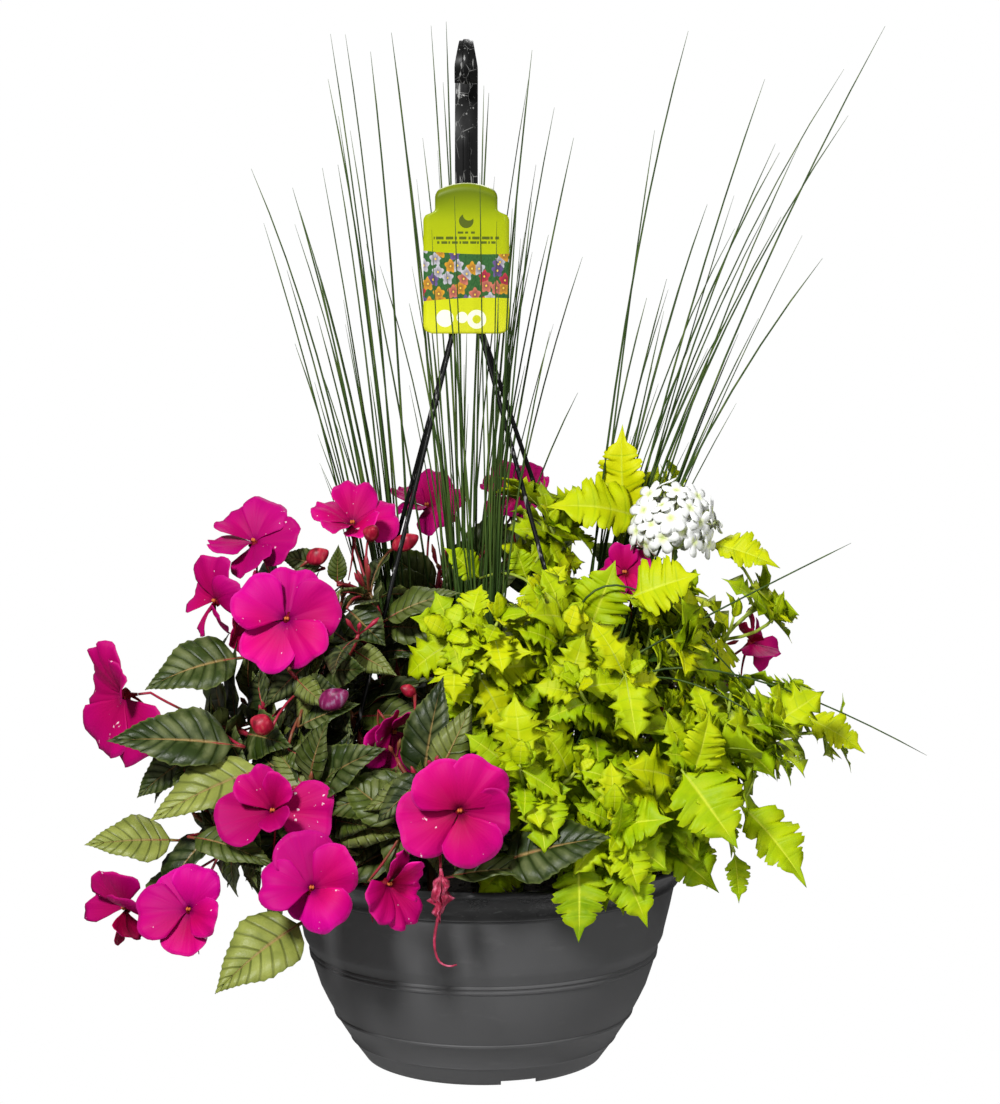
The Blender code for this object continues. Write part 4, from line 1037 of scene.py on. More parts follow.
# %% [markdown]
# ## How a leaf is made
#
# Every leaf starts as a flat grid of unit length. Its rows are pulled forward so that they run like the
# side ribs from the midrib to the edge, its last column becomes the teeth, and the blade is puffed up
# between the ribs. Solidify gives it a skin on either side. That one master is then copied: each copy
# is drooped over its length and folded along its midrib by the rule of the plain solids. The leaves that
# only fill the gaps come by the hundred, so their master is a lens of a few dozen faces.

# %% Leaf maker
LEAF_COLUMNS = (0.0, 0.1, 0.55, 1.0)    # shares of the way from the midrib to the edge
LEAN_COLUMNS = (0.0, 0.5, 1.0)          # the same for the leaves that fill the gaps by the hundred
masters = []


def kept_aside(piece):
    """Hides a master, which is there to be copied and goes at the end."""
    piece.hide_render = piece.hide_viewport = True
    masters.append(piece)
    return piece


def marked(piece, first_low):
    """Writes which half of a mesh's points is the lower skin into the attribute under."""
    half = len(piece.data.vertices) // 2
    under = piece.data.attributes.new("under", "FLOAT", "POINT")
    under.data.foreach_set("value", [float((i < half) == first_low) for i in range(2 * half)])
    piece.data.attributes.new("tone", "FLOAT", "POINT")
    return piece


def thickened(piece, thick):
    """Gives a sheet a skin on both sides, joined by a rim."""
    changed(piece, "SOLIDIFY", thickness=thick, offset=0)
    half = len(piece.data.vertices) // 2
    height = [v.co.z for v in piece.data.vertices]
    return marked(piece, sum(height[:half]) < sum(height[half:]))


def lens(piece, thick):
    """Gives a sheet a second skin below that meets the first one at the edge, so it needs no rim."""
    faces = piece.data.polygons
    uses = Counter(key for face in faces for key in face.edge_keys)
    rim = {point for key, count in uses.items() if count == 1 for point in key}
    only(piece)
    bpy.ops.object.mode_set(mode="EDIT")
    bpy.ops.mesh.select_all(action="SELECT")
    bpy.ops.mesh.duplicate()
    bpy.ops.mesh.flip_normals()
    bpy.ops.object.mode_set(mode="OBJECT")
    half = len(piece.data.vertices) // 2
    for vert in piece.data.vertices[half:]:
        if vert.index - half not in rim:
            vert.co.z -= thick
    return mended(marked(piece, False), 0.0001)


def make_leaf(name, rows, surface, thick, columns=LEAF_COLUMNS):
    """The master of a kind of leaf. surface(part, row) gives a point, out, along and rise, and its mark."""
    sides = len(columns) - 1
    leaf = grid(name, 2 * sides, rows)
    cells = [(round(v.co.x * sides), round((v.co.y + 1) / 2 * rows)) for v in leaf.data.vertices]
    shape = [surface(columns[abs(column)], row) for column, row in cells]
    chart(leaf, "leaf", [(math.copysign(columns[abs(column)], column) / 2 + 0.5, mark)
                         for (column, _), (*_, mark) in zip(cells, shape)])
    for vert, (column, _), (out, along, rise, _) in zip(leaf.data.vertices, cells, shape):
        vert.co = (math.copysign(out, column), along, rise)
    mended(leaf, 0.0006)
    (lens if columns == LEAN_COLUMNS else thickened)(leaf, thick)
    print(name, "master:", len(leaf.data.polygons), "faces")
    return kept_aside(leaf)


def puff(part):
    """How far the blade swells between the midrib and the edge."""
    return math.sin(math.pi * min(part, 0.93)) ** 0.6


# Impatiens: nine ribs a side that run well forward, and small saw teeth
IMPATIENS_MARKS = (0.07, 1.0, 9, 0.0)   # where on the map the blade starts and ends, its ribs, the first one


def impatiens_surface(rows, stalk, per_rib):
    def surface(part, row):
        if row < stalk:
            return 0.011 * part, 0.1 * row / stalk, 0, IMPATIENS_MARKS[0] * row / stalk
        share = (row - stalk) / (rows - stalk)
        lead = 0.2 * math.sin(math.pi * share) ** 0.8 * (1 - 0.4 * share)
        edge = share + lead / 0.9
        half = 0.76 * max(edge, 0.0004) ** 0.65 * max(0, 1 - edge) ** 1.32
        tooth = 0.05 if row % 2 and per_rib else 0.0
        out = half * part * (1 + tooth * (part == 1)) + 0.008 * part * (1 - share)
        along = 0.1 + 0.9 * share + (lead + 0.2 * tooth) * part ** 1.3
        swell = (0, 1, 0.8)[(row - stalk) % per_rib] if per_rib else 0.3
        swell *= 0.013 * math.sin(math.pi * min(1, share + 0.04)) ** 0.5 * puff(part)
        mark = IMPATIENS_MARKS[0] + (1 - IMPATIENS_MARKS[0]) * share
        return out, min(along, 1), swell - (0.004 if part == 0 else 0), mark
    return surface


# Coleus: deep lobes that point forward, each with blunt teeth of its own, and a drip tip
COLEUS_MARKS = (0.09, 0.88, 4, 0.5)


def coleus_surface(teeth, reaches, stalk, tip_rows):
    rows = stalk + teeth * len(reaches) + tip_rows
    start, end = COLEUS_MARKS[:2]

    def surface(part, row):
        if row < stalk:
            return 0.014 * part, 0.09 * row / stalk, 0, start * row / stalk
        if row > rows - tip_rows - 1:
            left = (rows - row) / (tip_rows + 1)
            return 0.1 * part * left ** 1.1, 1 - 0.24 * left, 0, 1 - (1 - end) * left
        step = (row - stalk) % len(reaches)
        share = (row - stalk) / (teeth * len(reaches))
        lead = 0.12 * (0.3 + 0.7 * math.sin(math.pi * min(1, share + 0.1))) * (1 - 0.7 * share ** 3)
        edge = min(0.97, (0.71 * share + lead) / 0.84)
        half = 0.86 * max(edge, 0.001) ** 0.55 * (1 - edge) ** 0.85
        reach = reaches[step] if part == 1 else 1 - 0.4 * (1 - min(1, reaches[step]))
        last = step == len(reaches) - 1
        along = 0.09 + 0.67 * share + lead * part ** 1.25 + (0.02 if last and part == 1 else 0)
        swell = (0.2 if step == 0 else 1) * 0.012 * puff(part)
        return half * part * reach, along, swell - (0.004 if part == 0 else 0), start + (end - start) * share
    return surface, rows


def small_surface(rows, width, fullest, teeth):
    """A small plain blade: its greatest half width, how soon it gets there, and its toothed rows."""
    def surface(part, row):
        share = row / rows
        half = width * max(share, 0.0004) ** fullest * (1 - share) ** 0.85
        tooth = 0.22 if row in teeth and part == 1 else 0
        out = half * part * (1 + tooth) + 0.012 * part * (1 - share)
        return out, min(1, share + 0.08 * part * share * (1 - share)), 0, share
    return surface


impatiens_leaf = make_leaf("impatiens_leaf", 29, impatiens_surface(29, 2, 3), 0.0045)
coleus_lobes, COLEUS_ROWS = coleus_surface(4, (0.5, 0.9, 1.06, 0.98, 1.14, 1.04), 2, 3)
coleus_leaf = make_leaf("coleus_leaf", COLEUS_ROWS, coleus_lobes, 0.006)
narrow_leaf = make_leaf("narrow_leaf", 12, small_surface(12, 0.34, 0.7, (5, 8)), 0.012)
impatiens_fill = make_leaf("impatiens_fill", 9, impatiens_surface(9, 1, 0), 0.006, LEAN_COLUMNS)
lean_lobes, LEAN_ROWS = coleus_surface(4, (0.64, 1.12), 1, 1)
coleus_fill = make_leaf("coleus_fill", LEAN_ROWS, lean_lobes, 0.008, LEAN_COLUMNS)
young_leaf = make_leaf("young_leaf", 7, small_surface(7, 0.8, 0.6, (2, 4)), 0.02, LEAN_COLUMNS)

# %% Laying a leaf
def lay(out, along, rise, size, droop, fold):
    """The rule of the plain blades: unit measures to a drooping, folded blade of some size."""
    angle = droop * along
    lift = (rise + abs(out) * fold) * size
    return (out * size, size * np.sin(angle) / droop + lift * np.sin(angle),
            lift * np.cos(angle) - size * (1 - np.cos(angle)) / droop)


def toned(piece, value):
    """Gives a whole piece one value of the attribute tone."""
    mesh = piece.data
    tone = mesh.attributes.get("tone") or mesh.attributes.new("tone", "FLOAT", "POINT")
    tone.data.foreach_set("value", [value] * len(mesh.vertices))
    return piece


def places_of(mesh):
    """The x, y and z of a mesh's points, as three rows."""
    flat = np.empty(3 * len(mesh.vertices), dtype=np.float32)
    mesh.vertices.foreach_get("co", flat)
    return flat.reshape(-1, 3).T


def reshaped(master, places, matrix, tone):
    """A copy of a master with its points at new places, which a matrix turns and moves."""
    mesh = master.data.copy()
    places = places @ np.array(matrix.to_3x3()).T + np.array(matrix.translation)
    mesh.vertices.foreach_set("co", places.astype(np.float32).ravel())
    return toned(linked(master.name + "_copy", mesh), tone)


def leaf_copy(master, pose, tone, ruffle, draw):
    """A copy of a master leaf in a pose (matrix, size, droop, fold), with its own ruffles."""
    matrix, size, droop, fold = pose
    out, along, rise = places_of(master.data)
    left, right, pace = (draw.uniform(0, math.tau) for _ in range(3))
    wave = np.sin(along * (13 + pace) + np.where(out > 0, left, right)) * np.abs(out) * ruffle
    sway = 0.05 * math.sin(left) * along ** 2
    places = np.stack(lay(out, along, rise + wave, size, droop, fold), axis=1)
    places[:, 0] += sway * size
    return reshaped(master, places, matrix, tone)


def midrib(pose, radius, until=0.75):
    """The leaf stalk and the rib below the blade, as points and radii."""
    matrix, size, droop, fold = pose
    shares = [0, 0.05, 0.1, 0.2, 0.35, 0.5, until]
    points = [matrix @ Vector(lay(0.0, s, 0.0, size, droop, fold)) for s in shares]
    down = -(matrix.to_3x3() @ UP)
    points = [p + down * (0.25 * radius + min(s, 0.1) * 5 * radius) for p, s in zip(points, shares)]
    return points, [radius * (1.1 - s) for s in shares[:-1]] + [0.15 * radius]


# %% [markdown]
# ## Finishes of the leaves
#
# The UV map of a leaf says how far a place is from the midrib and which row it is in, so ribs can be
# drawn sharper than the mesh is. `tone` differs from leaf to leaf, and `under` is 1 on the lower skin.

# %% Leaf finishes
def leaf_finish(name, shades, main, side, edge, under, sheen, marks, rough, width, relief, gloss):
    """A leaf's finish: the blade's shades by tone, the colours of ribs, edge and lower skin, and a painted
    sheen.
    """
    start, end, ribs, first = marks
    paint = Paint(name, Specular_IOR_Level=gloss)
    place = paint.chart("leaf")
    across, row = abs(place.part("X") * 2 - 1), place.part("Y")
    beat = row * (ribs / (end - start)) + (0.5 - first - start * ribs / (end - start))
    beat = beat.math("FRACT", beat)
    crown = (abs(beat - 0.5) * 2).clamped()
    side_rib = (1 - abs(beat - 0.5) * (1 / width)).clamped() * (1 - across * 0.45)
    main_rib = (1 - across * 13).clamped()
    patch = paint.noise(62, 3)
    of_leaf = paint.attribute("tone")
    blade = paint.ramp(of_leaf * 0.7 + patch * 0.3, *shades)
    # painted highlight: a lighter grey-green painted between the ribs where the noise is high, in place of a
    # glossy sheen
    painted_sheen = patch.above(0.42, 5) * crown * (1 - of_leaf.above(0.82, 10))
    blade = paint.mix(painted_sheen * sheen[0], blade, sheen[1])
    blade = paint.mix(across.above(0.92, 12) * 0.5, blade, edge)
    blade = paint.mix(side_rib * 0.7, blade, side)
    blade = paint.mix(main_rib, blade, main)
    height = side_rib * relief + paint.noise(700, 3) * 0.4 + main_rib * relief
    paint.set(Base_Color=paint.mix(paint.attribute("under") * 0.8, blade, under),
              Roughness=rough + (patch - 0.5) * 0.3,
              Normal=paint.bump(height, 0.6, 0.0009))
    return paint


impatiens_finish = leaf_finish(
    "impatiens_leaf", ((0.15, (0.006, 0.014, 0.002)), (0.42, (0.022, 0.039, 0.003)),
                       (0.64, (0.062, 0.086, 0.009)), (0.84, (0.25, 0.28, 0.055))),
    (0.3, 0.2, 0.07), (0.008, 0.016, 0.002), (0.15, 0.19, 0.04), (0.11, 0.13, 0.035),
    (0.85, (0.13, 0.148, 0.055)), IMPATIENS_MARKS, 0.46, 0.15, -1.5, 0.3)
coleus_finish = leaf_finish(
    "coleus_leaf", ((0.1, (0.07, 0.16, 0.001)), (0.4, (0.24, 0.37, 0.001)), (0.62, (0.36, 0.46, 0.001)),
                    (0.85, (0.5, 0.52, 0.001))),
    (0.48, 0.54, 0.03), (0.28, 0.4, 0.003), (0.4, 0.47, 0.002), (0.22, 0.32, 0.004),
    (0.35, (0.48, 0.52, 0.001)), COLEUS_MARKS, 0.5, 0.09, -0.35, 0.12)
narrow_finish = leaf_finish(
    "verbena_leaf", ((0.2, (0.05, 0.14, 0.01)), (0.6, (0.12, 0.24, 0.02))),
    (0.2, 0.34, 0.05), (0.08, 0.18, 0.02), (0.2, 0.34, 0.05), (0.14, 0.26, 0.05),
    (0.2, (0.16, 0.26, 0.04)), (0.0, 1.0, 4, 2 / 3), 0.5, 0.1, -1.0, 0.2)

red_stem = Paint("red_stem", Roughness=0.4, Specular_IOR_Level=0.25)
flush = red_stem.noise(40, 4, stretch=(1, 1, 0.4))
red_stem.set(Base_Color=red_stem.ramp(flush, (0.35, (0.1, 0.09, 0.02)), (0.5, (0.26, 0.02, 0.03)),
                                      (0.7, (0.36, 0.012, 0.05))))
pale_stem = Paint("pale_stem", Roughness=0.5, Specular_IOR_Level=0.2)
pale_stem.set(Base_Color=pale_stem.ramp(pale_stem.noise(60, 4, stretch=(1, 1, 0.3)), (0.3, (0.2, 0.28, 0.03)),
                                        (0.7, (0.42, 0.5, 0.06))))

# %% [markdown]
# ## Blooms
#
# An impatiens bloom is five broad, flat petals that overlap one way round like a fan, each with one
# side lifted over its neighbour. They meet at a small dark throat that holds the anther. Behind it the
# tube runs back into a thin curved spur. One petal is modelled, and every petal of every bloom is a copy
# with its own waves.

# %% Petal finish
THROAT, ANTHER = 2, 3               # tones above the petals' own, for what stands between them
petal_finish = Paint("magenta_petal", Specular_IOR_Level=0.07)
petal_uv = petal_finish.chart("leaf")
petal_side, petal_out = petal_uv.part("X"), petal_uv.part("Y")
streaks = petal_finish.node("ShaderNodeCombineXYZ", {}, {0: petal_side * 26, 1: petal_out * 1.2})
veins = petal_finish.noise(1.0, 2.0, streaks)
magenta = petal_finish.ramp(petal_out, (0.0, (0.04, 0.0, 0.002)), (0.1, (0.16, 0.0, 0.008)),
                            (0.2, (0.36, 0.0, 0.05)), (0.45, (0.48, 0.0, 0.09)), (0.93, (0.6, 0.0, 0.19)),
                            (0.99, (0.7, 0.02, 0.29)))
cooler = petal_finish.noise(11, 1).above(0.46, 5)
magenta = petal_finish.mix(cooler * 0.45, magenta, (0.44, 0.0, 0.26))
kind = petal_finish.attribute("tone")
# painted shade: a petal's tone darkens it towards crimson, in place of petals turned away from the light
magenta = petal_finish.mix(kind.clamped() * 0.75, magenta, (0.25, 0.0, 0.07))
magenta = petal_finish.mix(veins.above(0.52, 3) * 0.35, magenta, (0.5, 0.0, 0.1))
splash = petal_finish.noise(45, 1).above(0.6, 10) * 0.09
damage = ((petal_finish.noise(230, 2) - 0.745 + splash) * 40).clamped()
magenta = petal_finish.mix(damage * 0.8, magenta, (0.75, 0.55, 0.62))
magenta = petal_finish.mix(petal_finish.attribute("under") * 0.8, magenta, (0.3, 0.0, 0.03))
magenta = petal_finish.mix(kind > THROAT - 0.5, magenta, (0.16, 0.004, 0.012))
magenta = petal_finish.mix(kind > ANTHER - 0.5, magenta, (0.5, 0.13, 0.035))
petal_finish.set(Base_Color=magenta, Roughness=0.48 + veins * 0.15,
                 Normal=petal_finish.bump(veins, 0.5, 0.0006))

# %% Blooms
BLOOMS = {
    # bloom: place of the throat, way it faces, size across, cup
    "bloom_big": ((-138, -88, 179), (-0.12, -0.95, 0.22), 84, 0.10),
    "bloom_top_left": ((-166, -24, 226), (-0.42, -0.32, 0.85), 76, 0.30),
    "bloom_left_dark": ((-192, -44, 186), (-0.88, -0.42, 0.05), 66, 0.25),
    "bloom_far_left": ((-258, -50, 118), (-0.97, -0.2, -0.08), 92, 0.25),
    "bloom_top": ((-96, 4, 236), (-0.08, -0.3, 0.95), 72, 0.35),
    "bloom_behind": ((-44, 112, 238), (-0.1, 0.2, 0.97), 66, 0.3),
    "bloom_behind_right": ((22, 118, 246), (0.1, -0.15, 0.98), 66, 0.3),
    "bloom_lower_left": ((-145, -142, 52), (-0.12, -0.84, 0.5), 82, 0.2),
    "bloom_rim": ((-116, -178, 6), (-0.05, -0.9, 0.42), 80, 0.22),
    "bloom_front": ((-15, -188, 62), (0.02, -0.98, 0.12), 84, 0.12),
    "bloom_folded_front": ((-64, -190, 12), (0.72, -0.68, 0.05), 68, 0.3),
    "bloom_low_left": ((-205, -132, -20), (-0.15, -0.93, 0.3), 72, 0.2),
    "bloom_lowest_left": ((-254, -92, -28), (-0.86, -0.42, -0.25), 66, 0.3),
    "bloom_far_right": ((203, 62, 140), (0.62, -0.5, 0.55), 56, 0.4),
    "bloom_under_verbena": ((104, -10, 202), (-0.3, -0.85, 0.4), 50, 0.3),
    "bloom_hanging": ((-63, -112, 104), (0.55, -0.5, -0.66), 58, 0.7),
    "bloom_back_left": ((-172, 112, 150), (-0.6, 0.7, 0.35), 76, 0.2),
    "bloom_back": ((-52, 182, 96), (-0.1, 0.94, 0.3), 78, 0.2),
}
# bloom: each petal's turn, size, tilt towards the viewer and curl, the one in front first
FOLDS = {
    "bloom_big": ((150, 1.06, 0.34, -0.25), (20, 1.0, 0.16, -0.2), (-52, 0.98, 0.32, -0.2),
                  (-122, 1.0, 0.12, 0.05), (84, 0.92, -0.12, 0.0)),
    "bloom_front": ((-68, 1.05, 0.36, -0.35), (128, 1.0, 0.24, -0.25), (55, 1.0, 0.1, -0.2),
                    (-160, 1.08, -0.05, 0.1), (-8, 0.86, -0.1, 0.1)),
    "bloom_lower_left": ((-62, 0.85, 0.9, -0.2), (62, 0.8, 1.0, -0.2), (200, 1.05, 0.08, -0.1),
                         (128, 0.9, 0.4, -0.1), (-2, 1.1, -0.05, 0.0)),
    "bloom_rim": ((-55, 1.05, 0.45, -0.5), (180, 1.05, 0.35, -0.4), (38, 1.0, 0.3, -0.1),
                  (105, 1.05, 0.0, 0.0), (-112, 0.6, -0.2, 0.0)),
    "bloom_low_left": ((-22, 1.15, 0.9, -0.3), (186, 1.12, 0.1, -0.2), (70, 1.05, 0.35, -0.35),
                       (-95, 0.95, 0.0, 0.1), (128, 0.9, -0.1, 0.0)),
    "bloom_far_left": ((112, 1.05, 0.35, -0.3), (46, 0.9, 0.5, -0.2), (184, 0.9, 0.2, -0.3),
                       (248, 1.15, 0.25, -0.2), (304, 1.25, 0.15, -0.2)),
    "bloom_hanging": ((262, 1.35, 0.1, -0.2), (200, 1.3, 0.0, -0.2), (324, 1.3, 0.1, -0.2),
                      (80, 1.1, -0.1, -0.1), (140, 1.1, -0.1, 0.0)),
    "bloom_folded_front": ((45, 0.9, 0.9, -0.2), (-80, 1.1, 0.4, -0.2), (100, 0.95, 0.5, -0.1),
                           (-150, 1.1, 0.4, -0.2), (-20, 0.8, 0.6, -0.2)),
}
USUAL_TWIST = 0.13
TWISTS = {"bloom_far_left": -0.1, "bloom_left_dark": 0.35, "bloom_top_left": 0.2, "bloom_top": 0.2,
          "bloom_lowest_left": 0.6, "bloom_far_right": 0.5, "bloom_hanging": 0.3}
TURNED = {"bloom_top_left": 0.45, "bloom_top": 0.5, "bloom_behind": 0.7, "bloom_behind_right": 0.7,
          "bloom_far_left": 0.6, "bloom_hanging": 0.3}       # how far the petals turn to the viewer
# painted shade: the petals of these blooms get the darkest tones, as if they lay in shade
SHADED = ("bloom_top_left", "bloom_left_dark", "bloom_far_left", "bloom_behind", "bloom_behind_right",
          "bloom_lower_left", "bloom_lowest_left", "bloom_hanging", "bloom_far_right")      # deeper in colour
VIEWER = Vector(CAMERA_PLACE)
PETAL_TURNS = (90, 162, 234, 306, 18)
PETAL_SIZES = (1.0, 0.96, 0.9, 0.9, 0.98)
PETAL_SWING = 52                    # degrees from a petal's middle to its side
PETAL_COLUMNS, PETAL_ROWS = 18, 9
BLOOM_DEPTH = 9 * MM
SPENT_TOP, SPENT_DROOP = (-28, -186, 22), (0.05, -0.3, -0.95)


def make_petal():
    """One petal from the throat along +Y: flat, of unit length, with a shallow notch at its tip."""
    petal = grid("petal", PETAL_COLUMNS, PETAL_ROWS)
    cells = [(v.co.x, (v.co.y + 1) / 2) for v in petal.data.vertices]
    chart(petal, "leaf", [(across / 2 + 0.5, out) for across, out in cells])
    for vert, (across, out) in zip(petal.data.vertices, cells):
        swing = math.radians(PETAL_SWING * across * (0.78 + 0.22 * min(1, 2 * out)))
        tip = 1 - 0.06 * math.exp(-(across / 0.2) ** 2) - 0.36 * abs(across) ** 2.7
        radius = 0.06 + (tip - 0.06) * out
        vert.co = (radius * math.sin(swing), radius * math.cos(swing), 0)
    return kept_aside(thickened(petal, 0.009))


petal_master = make_petal()


def petal_copy(turn, size, tilt, curl, lift, twist, reach, matrix, tones, draw):
    """A petal at a turn round the throat: it leans by tilt, bends by curl and turns about itself by twist."""
    x, y, z = places_of(petal_master.data)
    radius, swing = np.hypot(x, y), np.arctan2(-x, y)
    share = np.degrees(swing) / PETAL_SWING
    first, second = draw.uniform(0, math.tau), draw.uniform(0, math.tau)
    roll, short = draw.uniform(-0.34, 0.1), 1 / math.hypot(1, tilt)
    rise = tilt * short * radius + twist * share * radius + curl * radius ** 3
    rise += roll * share ** 2 * radius ** 2
    rise += 0.07 * radius ** 2 * np.sin(share * 4 + first) + 0.045 * radius ** 4 * np.sin(share * 12 + second)
    rise += lift * radius - 0.05 * np.exp(-(share / 0.1) ** 2) * radius
    angle = math.radians(turn) + swing * (1 - 0.25 * abs(twist))
    around = radius * size * short * (1 + 0.02 * np.sin(share * 7 + second))
    places = np.stack((around * np.cos(angle), around * np.sin(angle), rise + z), axis=1) * reach
    return reshaped(petal_master, places, matrix, draw.uniform(*tones))


def natural_petals(draw):
    """Turn, size, tilt and curl of five petals that nobody has looked at closely."""
    spin = draw.uniform(-16, 16)
    return [(turn + spin, size * draw.uniform(0.92, 1.06), draw.uniform(-0.12, 0.32),
             draw.uniform(-0.55, 0.15)) for turn, size in zip(PETAL_TURNS, PETAL_SIZES)]


def ball(name, place, size, turn=None, level=2):
    """An egg of some size (x, y, z) with its place and turn."""
    bpy.ops.mesh.primitive_ico_sphere_add(subdivisions=level, radius=1)
    piece = bpy.context.object
    piece.name = name
    turn = turn or Matrix.Identity(3)
    piece.data.transform(Matrix.Translation(place) @ turn.to_4x4() @ Matrix.Diagonal((*size, 1)))
    return piece


def make_bloom(name, place, facing, across, cup):
    draw = random.Random(name)
    facing = Vector(facing).normalized()
    upright = UP - UP.project(facing) if abs(facing.z) < 0.95 else Vector((0, 1, 0.1))
    matrix = stance(at(*place), upright, facing)
    reach = across * MM / 2
    twist = TWISTS.get(name, USUAL_TWIST)
    shown = (facing + TURNED.get(name, 0) * (VIEWER - at(*place)).normalized()).normalized()
    spread = matrix if name not in TURNED else stance(at(*place), UP - UP.project(shown), shown)
    # painted shade: each petal gets a random darker tone, darkest on the shaded blooms
    tones = (0.6, 1) if name in SHADED else (0, 0.8)
    parts = [petal_copy(turn, size, cup + tilt, curl, 0.1 - 0.05 * index, twist, reach, spread, tones, draw)
             for index, (turn, size, tilt, curl) in enumerate(FOLDS.get(name) or natural_petals(draw))]
    eye_size = (0.15 * reach, 0.15 * reach, 1.1 * MM)
    eye = ball("eye", spread @ (Vector((0, 0, -0.9)) * MM), eye_size, spread.to_3x3(), 1)
    parts.append(toned(eye, THROAT))
    back = [(0.8, 3.1), (-1.5, 2.7), (-4, 2), (-BLOOM_DEPTH / MM, 1.1)]
    tube = [matrix @ (Vector((0, 0, z)) * MM) for z, _ in back]
    parts.append(toned(tubes("throat", [(tube, [r * MM for _, r in back])], 2), THROAT))
    for offset in (-0.8, 0.8):
        seat = matrix @ (Vector((offset, 0.4, 2.2)) * MM)
        half = ball("anther", seat, (1.1 * MM, 1.5 * MM, 1.7 * MM), matrix.to_3x3(), 1)
        parts.append(toned(half, ANTHER))
    low = matrix @ (Vector((0, -1, -5)) * MM)
    bend = low + (matrix.to_3x3() @ Vector((0, -0.6, -1))) * 14 * MM
    end = bend + Vector((draw.uniform(-6, 6), draw.uniform(-6, 6), -20)) * MM
    spur = curve_points(low, bend, end, 7)
    if room.clears(*ribbon(spur[1:], 0.8 * MM), (name,)):
        parts.append(toned(tubes("spur", [(spur, [1.2 * MM * (1 - 0.1 * i) for i in range(8)])]), THROAT))
    bloom = finished(joined(name + "_petals", parts), petal_finish, "magenta_petal", name).data
    room.add(name, [v.co.copy() for v in bloom.vertices], [p.vertices[:] for p in bloom.polygons])


for name, details in BLOOMS.items():
    make_bloom(name, *details)
print("blooms:", len(BLOOMS))

# %% Spent bloom
spent_finish = Paint("spent_petal", Roughness=0.55)
wilt = spent_finish.noise(160, 4)
spent_finish.set(Base_Color=spent_finish.ramp(wilt, (0.3, (0.1, 0.004, 0.01)), (0.52, (0.34, 0.008, 0.05)),
                                              (0.72, (0.62, 0.14, 0.24))),
                 Normal=spent_finish.bump(wilt, 0.7, 0.001))


def make_spent():
    """Five shrivelled strips of petal round a soft knot, and the long spur curled below them."""
    draw = random.Random("spent")
    knot = [at(*SPENT_TOP), at(-27, -188, 14), at(-27, -189, 4), at(-28, -190, -8)]
    parts = [tubes("knot", [(knot, [1 * MM, 2 * MM, 3.2 * MM, 1.3 * MM])], 3)]
    spur = curve_points(at(-28, -190, -6), at(-36, -192, -30), at(-29, -193, -41), 8)
    spur += curve_points(spur[-1], at(-24, -193.5, -46), at(-17, -194, -43), 4)[1:]
    parts.append(tubes("spur", [(spur, [1.2 * MM - 0.05 * MM * i for i in range(len(spur))])], 2))
    for turn, size in ((0.3, 27), (1.6, 20), (2.9, 30), (4.1, 34), (5.3, 23)):
        out = Vector((math.cos(turn) * 0.09, math.sin(turn) * 0.08 - 0.04, -1))
        matrix = stance(at(-27.5, -189, 18), out, compass(turn) + 0.3 * UP) @ Matrix.Diagonal((0.26, 1, 1, 1))
        parts.append(leaf_copy(young_leaf, (matrix, size * MM, 0.12, 0.5), 0.3, 0.45, draw))
    finished(joined("spent_bloom_petals", parts), spent_finish, "spent_petal", "spent_bloom")


make_spent()

# %% [markdown]
# ## Leafy stems
#
# A stem rises from its hole in the soil, leans over and carries its leaves in a spiral (impatiens) or in
# opposite pairs (coleus). The lists say where each one stands. The leaves of the plain solids come
# first. More are then grown between them wherever there is room, because a real plant is so dense that
# no soil shows.

# %% Lists of stems
IMPATIENS = {
    # stem: foot, top, leaves, longest leaf, blooms that it carries
    "impatiens_1": ((-66, -58), (-126, -68, 150), 5, 84, ("bloom_big",)),
    "impatiens_2": ((-84, -22), (-150, -14, 176), 5, 80, ("bloom_top_left", "bloom_left_dark")),
    "impatiens_3": ((-104, -26), (-198, -52, 96), 6, 92, ("bloom_far_left",)),
    "impatiens_4": ((-106, -56), (-190, -100, 30), 6, 92, ("bloom_low_left", "bloom_lowest_left")),
    "impatiens_5": ((-84, -88), (-132, -128, 66), 6, 92, ("bloom_lower_left", "bloom_rim")),
    "impatiens_6": ((-36, -104), (-42, -146, 70), 6, 92,
                    ("bloom_front", "bloom_folded_front", "bloom_hanging", "spent_bloom")),
    "impatiens_7": ((-44, -28), (-84, -22, 190), 5, 70, ("bloom_top",)),
    "impatiens_8": ((-46, 74), (-34, 108, 190), 4, 80, ("bloom_behind", "bloom_behind_right")),
    "impatiens_9": ((-92, 78), (-150, 96, 116), 5, 88, ("bloom_back_left",)),
    "impatiens_10": ((-44, 112), (-60, 158, 86), 5, 88, ("bloom_back",)),
    "impatiens_11": ((112, 36), (160, 62, 130), 4, 64, ("bloom_far_right", "bloom_under_verbena")),
}
COLEUS = {
    "coleus_1": ((6, -84), (-8, -96, 176), 6, 58),
    "coleus_2": ((30, -50), (44, -62, 196), 6, 60),
    "coleus_3": ((44, 4), (60, 14, 236), 5, 62),
    "coleus_4": ((94, 32), (112, 64, 252), 5, 62),
    "coleus_5": ((88, -24), (152, -44, 166), 6, 66),
    "coleus_6": ((122, 6), (206, 2, 176), 5, 60),
    "coleus_7": ((62, -84), (94, -118, 138), 6, 62),
    "coleus_8": ((26, -112), (40, -168, 74), 6, 68),
    "coleus_9": ((70, -108), (92, -172, 40), 6, 70),
    "coleus_10": ((98, -78), (146, -142, 76), 6, 84),
    "coleus_11": ((118, -48), (200, -90, 92), 6, 72),
    "coleus_12": ((126, -18), (256, -26, 86), 6, 62),
    "coleus_13": ((100, 72), (156, 116, 128), 5, 72),
    "coleus_14": ((52, 104), (64, 160, 104), 5, 72),
}
